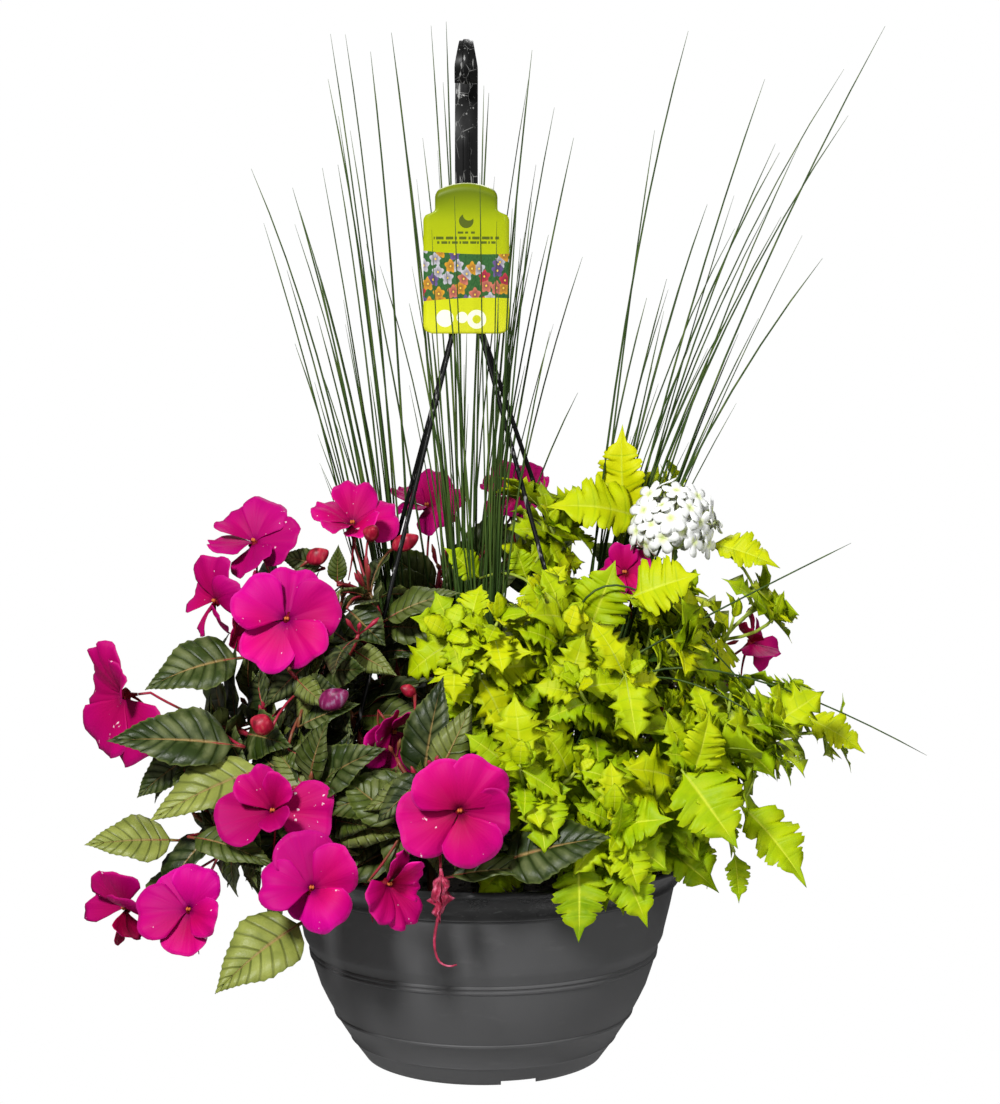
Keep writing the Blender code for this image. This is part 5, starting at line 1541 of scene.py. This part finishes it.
VERBENA_FOOT, VERBENA_HEAD, HEAD_CORE = (104, -4), (138, -22, 236), 23 * MM
GAP = 0.3 * MM
STEM_STEPS, STEM_TRIES, STALK_TRIES, SHOOT_TRIES, PLACED_TRIES = 5, 40, 200, 25, 30
STALK_RADIUS, LEAF_STALK = 0.95 * MM, 0.08      # a flower stalk's radius; a leaf stalk's share of the leaf

# %% Growing stems and leaves
def stem_ways(name, foot, top):
    root, crown = at(*foot, -14), at(*top)
    bend = root.lerp(crown, 0.35)
    bend.z = root.z + 0.78 * (crown.z - root.z) + 0.22 * (crown - root).xy.length
    for attempt, draw in attempts(STEM_TRIES, name, "stem"):
        stray = scatter(draw) * 1.2 * MM * attempt
        yield root, bend + stray, crown + stray * 0.3


def stem_line(name, foot, top, radius):
    """The line of the plain stem, and the same line with finer steps."""
    def probes(way):
        points = curve_points(*way, STEM_STEPS)
        return [(point, 0.707 * radius * (1 - 0.1 * i)) for i, point in enumerate(points)]

    way = nearest_way(name, stem_ways(name, foot, top), probes, 3 * MM)
    bottom = at(*foot, HOLE_FLOOR + 2)
    return [bottom] + curve_points(*way, STEM_STEPS), [bottom] + curve_points(*way, 3 * STEM_STEPS)


def stem_run(fine, radius):
    """A stem's line with its radii, which shrink steadily from the soil up."""
    return fine, [radius] * 2 + [radius * (1 - 0.033 * i) for i in range(1, len(fine) - 1)]


def leaf_ways(name, index, line, share, turn, length, spread):
    """The poses that a leaf may take, nearest to its natural one first."""
    root, ahead = along_line(line, share)
    out = Vector((root.x - RIM_CENTRE.x, root.y, 0))
    out = out.normalized() if out.length > 20 * MM else Vector((0, -1, 0))
    facing = (ahead * 0.55 + out * 0.75 + UP * 0.25).normalized()
    across = facing.orthogonal().normalized()
    for attempt, draw in attempts(STEM_TRIES, name, index):
        loose = attempt / STEM_TRIES
        angle = turn + draw.uniform(-1, 1) * (0.3 + 1.6 * loose)
        rise = spread + draw.uniform(-0.35, 0.35) * (1 + loose)
        radial = Matrix.Rotation(angle, 3, facing) @ across
        along = radial * math.cos(rise) + facing * math.sin(rise)
        face = facing * math.cos(rise) - radial * math.sin(rise)
        face += radial.cross(facing) * draw.uniform(-0.35, 0.35)
        size = length * draw.uniform(0.86, 1.08) * (1 - 0.4 * loose)
        droop, fold = draw.uniform(0.35, 0.95), draw.uniform(0.1, 0.3)
        yield stance(root + radial * 0.6 * MM, along, face), size, droop, fold


def leaf_points(pose, outline):
    matrix, size, droop, fold = pose
    return [matrix @ Vector(lay(out, along, 0.0, size, droop, fold)) for out, along in outline]


def leaf_orders(count, longest, opposite, from_share, taper):
    """Where each of a stem's leaves sits: its share of the line, turn, length and spread."""
    for index in range(count):
        level = index // 2 if opposite else index
        levels = (count + 1) // 2 if opposite else count
        young = level / max(1, levels - 1)
        share = from_share + (0.985 - from_share) * young ** 0.8
        turn = (level * math.pi / 2 + math.pi * (index % 2) + 0.8) if opposite else index * 2.4
        yield share, turn, longest * MM * (1 - taper * young), 0.1 + 0.5 * young


def solid_leaves(name, line, orders, outline_of):
    """The poses of the plain solid's leaves, whose outline (rib's bend, half width, widest place)
    depends on their length."""
    found = []
    for index, order in enumerate(orders):
        rib, half, widest = outline_of(order[2])
        outline = [(0, 1), (0, rib), (half, widest), (-half, widest)]
        found.append(nearest_way(name, leaf_ways(name, index, line, *order),
                                 lambda pose: [(p, 0.2 * MM) for p in leaf_points(pose, outline)], 1.5 * MM))
    return [pose for pose in found if pose]


SHEET = ((0, 0.14), (0.2, 0.36), (0, 0.5), (-0.2, 0.36), (0.15, 0.72), (-0.15, 0.72), (0, 1))
SHEET_FACES = ((0, 1, 2), (0, 2, 3), (1, 4, 2), (3, 2, 5), (4, 6, 2), (5, 2, 6))


def sheet(pose, width):
    """A leaf as six triangles, to test whether it is clear."""
    return leaf_points(pose, [(out * width, along) for out, along in SHEET]), SHEET_FACES


UNSEEN = ("bloom_behind", "bloom_behind_right", "bloom_under_verbena", "bloom_back_left", "bloom_back")
SIGHTS = [(at(*place), 0.42 * across * MM)
          for name, (place, _, across, _) in BLOOMS.items() if name not in UNSEEN]
SIGHTS += [(at(*VERBENA_HEAD), 32 * MM), (at(*SPENT_TOP), 14 * MM)]


def hides_bloom(points):
    """Whether a leaf would stand between the viewer and a bloom."""
    for place, reach in SIGHTS:
        way = place - VIEWER
        far, way = way.length, way.normalized()
        for point in points:
            ahead = (point - VIEWER).dot(way)
            if ahead < far - 4 * MM and (point - VIEWER - way * ahead).length < reach:
                return True
    return False


def hangs_low(points):
    """Whether a leaf would hide the pot or hang below the basket's right side."""
    for point in points:
        place = (point - RIM_CENTRE) / MM
        if place.z < (4 if place.xy.length < 190 else -35) or (place.x > 195 and place.z < 58):
            return True
    return False


def side_shoots(name, line, count, reach, rise):
    """Short shoots that leave a stem sideways wherever there is room, each as a line of points."""
    shoots = []
    for index in range(count):
        for _, draw in attempts(SHOOT_TRIES, name, "shoot", index):
            start, _ = along_line(line, draw.uniform(0.4, 0.92))
            out, turn = (start - RIM_CENTRE) * Vector((1, 1, 0)), draw.uniform(0, math.tau)
            way = compass(turn) + draw.uniform(*rise) * UP + 0.6 * out.normalized()
            way = way.normalized() * draw.uniform(*reach) * MM
            points = curve_points(start, start + 0.6 * way, start + 0.85 * way + 0.3 * way.length * UP, 4)
            if room.takes(name + " stem", ribbon(points[1:], 1.8 * MM), (name,)):
                shoots.append(points)
                break
    return shoots


def new_leaves(name, line, count, longest, shares, width, spreads, seed):
    """Further leaves on a stem, each in the first pose that crosses nothing."""
    draw = random.Random(f"{name} {seed}")
    poses = []
    for index in range(count):
        share = shares[0] + (shares[1] - shares[0]) * (index + draw.random()) / count
        order = share, draw.uniform(0, math.tau), longest * draw.uniform(0.6, 1) * MM, draw.uniform(*spreads)
        for pose in leaf_ways(f"{name} {seed}", index, line, *order):
            test = sheet(pose, width)
            if (not hangs_low(test[0]) and not hides_bloom(test[0])
                    and room.takes(name + " leaves", test, (name, name + " stem"))):
                poses.append(pose)
                break
    return poses


def tip_fan(name, line, count, lengths):
    """Short flower stalks with tiny buds that spring from the end of a stem."""
    runs = []
    end, ahead = along_line(line, 0.99)
    draw = random.Random(name + " fan")
    for _ in range(5 * count):
        way = (ahead + scatter(draw) + Vector((0, -0.6, 0.3))).normalized()
        way *= draw.uniform(*lengths) * MM
        places = curve_points(end, end + 0.5 * way, end + way + 0.2 * way.length * UP, 5)
        sleeve = ribbon(places[1:], 1.2 * MM)
        if len(runs) < count and room.takes(name + " fan", sleeve, (name, name + " stem")):
            runs.append((places, [r * MM for r in (0.9, 0.75, 0.75, 1.5, 1.9, 0.4)]))
    return runs


def flower_stalk_ways(name, line, bloom):
    if bloom == "spent_bloom":
        seat, facing = at(*SPENT_TOP), Vector(SPENT_DROOP).normalized()
    else:
        place, facing, *_ = BLOOMS[bloom]
        facing = Vector(facing).normalized()
        seat = at(*place) - facing * BLOOM_DEPTH
    end = seat - facing * GAP
    behind = end - facing * 9 * MM
    for attempt, draw in attempts(STALK_TRIES, name, bloom):
        start, _ = along_line(line, draw.uniform(0.6, 0.97))
        stray = scatter(draw) * (6 + 0.3 * attempt) * MM
        bend = start.lerp(behind, draw.uniform(0.4, 0.8)) + stray
        yield start, bend, behind, end


def flower_stalk(name, line, bloom):
    def probes(way):
        return [(p, 0.5 * STALK_RADIUS) for p in curve_points(*way[:3], 3)[1:]] + [(way[3], 0)]

    way = nearest_way(name, flower_stalk_ways(name, line, bloom), probes, 1.2 * MM)
    return [(curve_points(*way[:3], 9) + [way[3]], [1.05 * STALK_RADIUS] * 11)] if way else []


def placed_leaf(base, tip, wide, facing, droop, fold, shift):
    """The pose of a leaf that hangs between two places: the chord of its arc joins them."""
    base, tip = at(*base) + shift, at(*tip) + shift
    chord = tip - base
    side = chord.cross(facing).normalized()
    along = Matrix.Rotation(droop / 2, 3, side) @ chord
    size = chord.length * (droop / 2) / math.sin(droop / 2) / (1 - LEAF_STALK)
    base = base - chord * LEAF_STALK
    return stance(base, along, facing) @ Matrix.Diagonal((wide, 1, 1, 1)), size, droop, fold


def placed_leaves(name, line, orders, width):
    """The leaves that are listed one by one, each with its stalk from the stem."""
    poses, stalks = [], []
    for share, base, tip, wide, facing, droop in orders:
        for attempt, draw in attempts(PLACED_TRIES, name, base):
            shift = scatter(draw) * 0.7 * MM * attempt
            pose = placed_leaf(base, tip, wide, Vector(facing), droop, 0.16, shift)
            test = sheet(pose, width)
            if room.clears(*test, (name,)):
                break
        else:
            print("placed over others:", name, base)
        room.add(name + " leaves", *test)
        poses.append(pose)
        start, ahead = along_line(line, share)
        end = pose[0].translation
        if (end - start).length > 3 * MM:
            bend = start.lerp(end, 0.5) + ahead * 0.3 * (end - start).length
            stalks.append((curve_points(start, bend, end, 6), [1.1 * MM] * 7))
    return poses, stalks


# %% Impatiens
MORE_IMPATIENS, IMPATIENS_SHOOTS, IMPATIENS_FAN = 9, 4, 5
FILL_TONES = (0.1, 0.2, 0.35, 0.5, 0.62, 0.8)
FRONT, LEFT = (0, -0.85, 0.5), (-0.4, -0.75, 0.55)
PLACED_IMPATIENS = {
    # stem: (share of its line, blade's base, tip, widening, way it faces, droop)
    "impatiens_1": ((0.8, (-127, -100, 105), (-86, -110, 120), 1.1, (0, -0.6, 0.8), 0.5),
                    (0.75, (-137, -110, 88), (-112, -125, 74), 1.3, FRONT, 0.6)),
    "impatiens_2": ((0.8, (-175, -60, 146), (-241, -80, 131), 1.3, LEFT, 0.6),
                    (0.97, (-117, -30, 209), (-148, -30, 219), 1.2, (-0.2, -0.8, 0.5), 0.4)),
    "impatiens_3": ((0.9, (-176, -90, 88), (-263, -112, 96), 1.05, (0, -0.75, 0.65), 0.5),
                    (0.85, (-208, -70, 78), (-245, -80, 47), 1.2, (-0.5, -0.8, 0.2), 0.7),
                    (0.85, (-211, -95, 76), (-211, -100, 45), 1.0, FRONT, 0.6)),
    "impatiens_4": ((0.97, (-221, -90, 20), (-280, -110, 20), 1.25, (0, -0.7, 0.7), 0.4),
                    (0.95, (-204, -125, 23), (-146, -150, 8), 0.9, (0.1, -0.7, 0.7), 0.8),
                    (0.95, (-212, -112, 15), (-242, -112, -31), 1.2, (-0.5, -0.8, 0.3), 0.6),
                    (0.8, (-156, -100, 73), (-230, -130, 40), 1.05, (0.1, -0.6, 0.8), 0.6)),
    "impatiens_5": ((0.6, (-126, -150, -26), (-185, -182, -63), 1.3, (-0.3, -0.9, 0.5), 0.5),),
    "impatiens_6": ((0.85, (-57, -160, 49), (-100, -140, 76), 1.2, (-0.1, -0.8, 0.55), 0.5),
                    (0.7, (16, -172, 24), (88, -190, 45), 1.3, (0.1, -0.75, 0.65), 0.55),
                    (0.6, (-22, -174, 12), (53, -180, 20), 0.6, (0, -0.5, 0.85), 0.3)),
    "impatiens_7": ((0.95, (-94, -60, 185), (-70, -80, 161), 1.5, FRONT, 0.7),
                    (0.9, (-69, -60, 174), (-16, -70, 197), 1.1, (0, -0.5, 0.85), 0.5),
                    (0.9, (-67, -45, 167), (-20, -65, 164), 1.1, FRONT, 0.6),
                    (0.97, (-105, -40, 199), (-105, -45, 227), 1.0, FRONT, 0.3)),
    "impatiens_8": ((0.95, (-24, 96, 168), (32, 90, 190), 1.3, FRONT, 0.5),
                    (0.9, (-10, 106, 150), (48, 100, 146), 1.3, FRONT, 0.6),
                    (0.97, (16, 112, 178), (70, 106, 212), 1.3, FRONT, 0.5),
                    (0.9, (34, 112, 156), (94, 106, 178), 1.3, FRONT, 0.5),
                    (0.97, (-40, 100, 176), (-84, 92, 206), 1.2, FRONT, 0.5),
                    (0.97, (14, 112, 194), (64, 108, 232), 1.4, FRONT, 0.4),
                    (0.97, (-8, 118, 190), (16, 114, 236), 1.3, FRONT, 0.4)),
    "impatiens_11": ((0.97, (140, 74, 138), (86, 70, 160), 1.3, FRONT, 0.5),
                     (0.97, (150, 80, 150), (112, 76, 196), 1.3, FRONT, 0.5),
                     (0.97, (128, 84, 176), (80, 80, 214), 1.4, FRONT, 0.4)),
}
PALE = ((-126, -150, -26), (-221, -90, 20), (-156, -100, 73))       # the bases of three yellowing leaves
BUDS = {
    # stem: where on its line the bud's stalk starts, the bud's place, half length, half width, ripeness
    "impatiens_1": ((0.8, (-155, -112, 108), 8.5, 7.5, 0), (0.9, (-104, -112, 126), 12, 8, 1)),
    "impatiens_2": ((0.95, (-119, -40, 218), 9, 6.5, 0),),
    "impatiens_6": ((0.9, (-52, -112, 132), 6, 4.5, 0),),
    "impatiens_7": ((0.97, (-81, -22, 233), 9, 6, 0), (0.97, (-57, -4, 224), 11, 6.5, 0)),
}
buds = []


def make_bud(line, share, place, length, width, ripeness):
    """A pointed, folded bud that leans up and to the side of its stalk, and the stalk's points and radii."""
    start, ahead = along_line(line, share)
    end = at(*place)
    across = Vector((end.x - start.x, -4 * MM, 0)).normalized()
    lean = (across + UP * 0.5).normalized()
    bud = ball("bud", (0, 0, 0), (width * MM, length * MM, width * MM), None, 3)
    for vert in bud.data.vertices:
        point = vert.co.y / (length * MM)
        folds = 1 + 0.07 * math.sin(3 * math.atan2(vert.co.z, vert.co.x) + 2 * point)
        shrink = folds * (1 - 0.35 * max(0, point) ** 1.5)
        vert.co.x, vert.co.z = vert.co.x * shrink, vert.co.z * shrink
    bud.data.transform(stance(end, lean, Vector((0, -1, 0.2))))
    buds.append(toned(bud, ripeness))
    foot = end - lean * 0.9 * length * MM
    bend = start.lerp(foot, 0.5) + ahead * 0.25 * (foot - start).length
    return curve_points(start, bend, foot, 6), [0.9 * MM] * 6 + [1.5 * MM]


def grow_impatiens(name, foot, top, count, longest, blooms):
    line, fine = stem_line(name, foot, top, 3.2 * MM)
    draw = random.Random(name + " tone")
    orders = leaf_orders(count, longest, False, 0.45, 0.15)
    poses = solid_leaves(name, line, orders, lambda length: (0.42, 0.235, 0.56))
    kept = len(poses)
    for pose in poses:
        room.add(name + " leaves", *sheet(pose, 1.05))
    stalks = [run for bloom in blooms for run in flower_stalk(name, line, bloom)]
    stalks += [make_bud(line, *bud) for bud in BUDS.get(name, ())]
    orders = PLACED_IMPATIENS.get(name, ())
    picked, leaf_stalks = placed_leaves(name, line, orders, 1.0)
    fan = tip_fan(name, line, IMPATIENS_FAN, (12, 27))
    fill = new_leaves(name, line, MORE_IMPATIENS, 0.95 * longest, (0.3, 0.95), 1.0, (-0.1, 0.5), "more")
    fill += new_leaves(name, line, 4, 34, (0.93, 0.99), 0.8, (0.7, 1.2), "young")
    shoots = side_shoots(name, line, IMPATIENS_SHOOTS, (26, 52), (-0.1, 0.7))
    for index, shoot in enumerate(shoots):
        fill += new_leaves(name, shoot, 5, 0.85 * longest, (0.35, 0.99), 1.0, (0, 0.7), f"shoot {index}")
        fan += tip_fan(f"{name} {index}", shoot, 3, (8, 18))
    tones = [draw.uniform(0.12, 0.6) for _ in poses]
    tones += [0.93 if order[1] in PALE else draw.uniform(0.3, 0.7) for order in orders]
    leaves = [leaf_copy(impatiens_leaf, pose, tone, 0.12, draw) for pose, tone in zip(poses + picked, tones)]
    leaves += [leaf_copy(impatiens_fill, pose, draw.choice(FILL_TONES), 0.14, draw) for pose in fill]
    poses += picked + fill
    finished(joined(name + "_leaves", leaves), impatiens_finish, "leaf_green", name)
    runs = [stem_run(fine, 3.2 * MM)] + [(shoot, [1.7 * MM] * 4 + [1.2 * MM]) for shoot in shoots]
    runs += stalks + leaf_stalks + fan
    runs += [midrib(pose, 1.1 * MM * max(0.6, pose[1] / (90 * MM)), 0.7) for pose in poses]
    finished(tubes(name + "_stems", runs), red_stem, "stem_green", name)
    print(name, "leaves:", kept, "of", count, "and new ones:", len(poses) - kept, "stalks:", len(stalks))


for name, details in IMPATIENS.items():
    grow_impatiens(name, *details)

bud_finish = Paint("bud_skin", Roughness=0.42, Specular_IOR_Level=0.25)
bloomy = bud_finish.noise(240, 5, stretch=(1, 1, 0.5))
red_bud = bud_finish.ramp(bloomy, (0.3, (0.12, 0.003, 0.008)), (0.58, (0.34, 0.006, 0.03)),
                          (0.8, (0.45, 0.1, 0.08)))
ripe_bud = bud_finish.ramp(bloomy, (0.3, (0.07, 0.003, 0.03)), (0.55, (0.2, 0.01, 0.08)),
                           (0.75, (0.3, 0.22, 0.32)))
bud_finish.set(Base_Color=bud_finish.mix(bud_finish.attribute("tone"), red_bud, ripe_bud),
               Normal=bud_finish.bump(bloomy, 0.5, 0.0008))
finished(joined("impatiens_buds", buds), bud_finish, "magenta_petal")

# %% Coleus
MORE_COLEUS, COLEUS_SHOOTS = 8, 5
PLACED_COLEUS = {
    "coleus_1": ((0.97, (-19, -75, 168), (-51, -85, 181), 1.1, FRONT, 0.5),
                 (0.9, (-2, -85, 150), (36, -100, 157), 1.0, (0.1, -0.8, 0.55), 0.5),
                 (0.92, (-14, -95, 155), (-17, -110, 119), 0.9, (-0.2, -0.9, 0.3), 0.6)),
    "coleus_2": ((0.97, (45, -60, 174), (34, -50, 207), 1.2, (0, -0.97, 0.1), 0.3),
                 (0.97, (-4, -20, 201), (-29, -25, 222), 0.9, (0, -0.8, 0.5), 0.4),
                 (0.97, (78, -44, 168), (98, -44, 214), 1.15, (-0.1, -0.95, 0.2), 0.4)),
    "coleus_3": ((0.95, (31, -30, 202), (22, -30, 226), 1.0, (0, -0.9, 0.2), 0.3),),
    "coleus_4": ((0.97, (96, 30, 242), (31, 10, 254), 0.85, (0, -0.8, 0.6), 0.8),
                 (0.93, (111, 40, 228), (107, 40, 294), 0.75, (-0.3, -0.93, 0.1), 0.5),
                 (0.95, (117, 45, 235), (134, 50, 278), 0.9, (0.3, -0.9, 0.2), 0.5)),
    "coleus_5": ((0.97, (114, -52, 176), (160, -58, 190), 1.2, (0, -0.8, 0.6), 0.5),),
    "coleus_6": ((0.97, (169, -10, 222), (216, -20, 207), 0.75, (0, -0.7, 0.7), 0.6),),
    "coleus_8": ((0.93, (66, -172, 21), (68, -188, -29), 0.9, (0, -0.97, 0.2), 0.5),),
    "coleus_9": ((0.9, (92, -164, 26), (115, -176, -21), 0.8, (0.1, -0.95, 0.2), 0.6),
                 (0.93, (81, -165, 47), (125, -185, 57), 1.05, (0, -0.8, 0.6), 0.5)),
    "coleus_10": ((0.95, (140, -150, 79), (173, -170, 31), 1.05, (0.1, -0.9, 0.45), 0.5),
                  (0.8, (177, -120, 16), (179, -125, -17), 0.7, (0.3, -0.9, 0.2), 0.4)),
    "coleus_11": ((0.93, (185, -110, 46), (228, -130, -3), 0.75, (0.4, -0.8, 0.4), 0.5),),
    "coleus_12": ((0.8, (208, -25, 108), (240, -30, 89), 0.9, (0, -0.8, 0.6), 0.6),
                  (0.95, (240, -25, 97), (281, -30, 74), 0.75, (0.1, -0.75, 0.65), 0.6)),
}


def grow_coleus(name, foot, top, count, longest):
    line, fine = stem_line(name, foot, top, 2.4 * MM)
    draw = random.Random(name + " tone")
    orders = leaf_orders(count, longest, True, 0.42, 0.42)
    poses = solid_leaves(name, line, orders,
                         lambda length: (0.5, 0.42, 0.6) if length > 50 * MM else (0.4, 0.36, 0.34))
    for pose in poses:
        room.add(name + " leaves", *sheet(pose, 1.7))
    kept = len(poses)
    picked, leaf_stalks = placed_leaves(name, line, PLACED_COLEUS.get(name, ()), 1.5)
    poses += picked
    main = len(poses)
    poses += new_leaves(name, line, MORE_COLEUS, 0.95 * longest, (0.3, 0.96), 1.6, (-0.1, 0.6), "more")
    shoots = side_shoots(name, line, COLEUS_SHOOTS, (24, 50), (0, 0.9))
    for index, shoot in enumerate(shoots):
        poses += new_leaves(name, shoot, 5, 0.85 * longest, (0.35, 0.99), 1.6, (0, 0.7), f"shoot {index}")
    young = []
    for tip in [line] + shoots:
        young += new_leaves(name, tip, 4, 24, (0.95, 0.99), 1.3, (0.7, 1.2), f"young {tip[-1].z:.4f}")
    leaves = [leaf_copy(young_leaf, pose, draw.uniform(0.5, 1), 0.1, draw) for pose in young]
    for index, pose in enumerate(poses):
        # higher leaves get a lighter tone: partly the yellower young growth, partly painted shade on the
        # lower leaves
        height = (pose[0].translation.z - RIM_CENTRE.z) / (240 * MM)
        tone = min(1, max(0, 0.12 + 0.4 * height + draw.uniform(0, 0.55)))
        master, ruffle = (coleus_leaf, 0.16) if index < main else (coleus_fill, 0.24)
        leaves.append(leaf_copy(master, pose, tone, ruffle, draw))
    finished(joined(name + "_leaves", leaves), coleus_finish, "lime_leaf", name)
    runs = [stem_run(fine, 2.4 * MM)] + [(shoot, [1.4 * MM] * 4 + [0.9 * MM]) for shoot in shoots]
    runs += leaf_stalks + [midrib(pose, 0.9 * MM * max(0.5, pose[1] / (70 * MM))) for pose in poses]
    finished(tubes(name + "_stems", runs), pale_stem, "stem_green", name)
    print(name, "leaves:", kept, "of", count, "and new ones:", len(poses) - kept)


for name, details in COLEUS.items():
    grow_coleus(name, *details)

# %% [markdown]
# ## Verbena
#
# The head is a dome of small white blossoms, each with five round lobes and a greenish eye. They stand
# on tubes that spring from one short core, so every blossom faces away from the middle.

# %% Verbena
white_finish = Paint("white_petal", Roughness=0.5, Specular_IOR_Level=0.3)
white = white_finish.ramp(white_finish.attribute("tone"), (0.0, (0.42, 0.52, 0.12)),
                          (0.22, (0.7, 0.74, 0.45)), (0.4, (0.79, 0.8, 0.78)))
white_finish.set(Base_Color=white, Roughness=0.45 + white_finish.noise(500, 2) * 0.15)
FLORETS, FLORET_SIZE, HEAD_REACH = 36, 24 * MM, 29 * MM


def make_floret():
    """A small blossom that faces +Z, with its tube below: rings of a disc pulled into five lobes."""
    rings, sides = (0.0, 0.1, 0.35, 0.7, 1.0), 30
    points, faces, tones = [], [], []
    for ring, share in enumerate(rings):
        for side in range(sides):
            angle = math.tau * side / sides
            lobe = 0.34 + 0.66 * abs(math.cos(2.5 * angle)) ** 0.45
            radius = share * (1 - (1 - lobe) * share ** 1.5) / 2
            rise = 0.05 * share * math.cos(2.5 * angle) ** 2 - 0.05 * share ** 2 + 0.04 * (share > 0)
            points.append((radius * math.cos(angle), radius * math.sin(angle), rise))
            tones.append(share)
            if ring:
                low, after = (ring - 1) * sides + side, (ring - 1) * sides + (side + 1) % sides
                faces.append((low, low + sides, after + sides, after))
    piece = piece_of("floret", points, faces)
    tone = piece.data.attributes.new("tone", "FLOAT", "POINT")
    tone.data.foreach_set("value", tones)
    return changed(mended(piece, 0.002), "SOLIDIFY", thickness=0.02, offset=0)


def make_verbena():
    centre = at(*VERBENA_HEAD)
    floret = make_floret()
    golden = math.pi * (3 - math.sqrt(5))
    parts, runs = [], []
    draw = random.Random("verbena")
    for index in range(FLORETS):
        height = 1 - 1.45 * (index + 0.5) / FLORETS
        around = math.sqrt(1 - height * height)
        out = Vector((around * math.cos(index * golden), around * math.sin(index * golden), height))
        face = out.lerp(Vector((0, -1, 0.4)).normalized(), 0.12)
        face = (face + scatter(draw, 0.42)).normalized()
        end = centre + out * HEAD_REACH * draw.uniform(0.84, 1.12)
        copy = linked("floret_copy", floret.data.copy())
        spin = Matrix.Rotation(draw.uniform(0, math.tau), 4, "Z")
        grown = FLORET_SIZE * draw.uniform(0.8, 1.1)
        copy.data.transform(stance(end, face.orthogonal(), face) @ spin @ Matrix.Scale(grown, 4))
        parts.append(copy)
        runs.append(([centre + out * 10 * MM, end - face * 2 * MM, end], [1.3 * MM, 0.9 * MM, 1.2 * MM]))
    bpy.data.objects.remove(floret)
    tube = toned(tubes("tubes", runs), 0.15)
    core = toned(ball("core", centre - UP * 4 * MM, (11 * MM, 11 * MM, 12 * MM)), 0.0)
    finished(joined("verbena_florets", parts + [tube, core]), white_finish, "white_petal", "verbena_head")

    neck = (*VERBENA_HEAD[:2], VERBENA_HEAD[2] - (HEAD_CORE + GAP) / MM)
    line, fine = stem_line("verbena_stem", VERBENA_FOOT, neck, 1.8 * MM)
    orders = leaf_orders(4, 46, True, 0.4, 0.42)
    poses = solid_leaves("verbena_stem", line, orders, lambda length: (0.5, 0.1, 0.3))
    poses += new_leaves("verbena_stem", line, 8, 44, (0.45, 0.97), 0.7, (0.0, 0.6), "more")
    leaves = [leaf_copy(narrow_leaf, pose, draw.uniform(0.2, 0.9), 0.1, draw) for pose in poses]
    finished(joined("verbena_leaves", leaves), narrow_finish, "stem_green", "verbena_stem")
    fine, radii = stem_run(fine, 1.8 * MM)
    runs = [(fine + [centre - UP * 14 * MM], radii + [0.9 * MM])] + [midrib(pose, 0.6 * MM) for pose in poses]
    finished(tubes("verbena_stems", runs), pale_stem, "stem_green", "verbena_stem")


make_verbena()

# %% Masters
for master in masters:
    bpy.data.objects.remove(master)
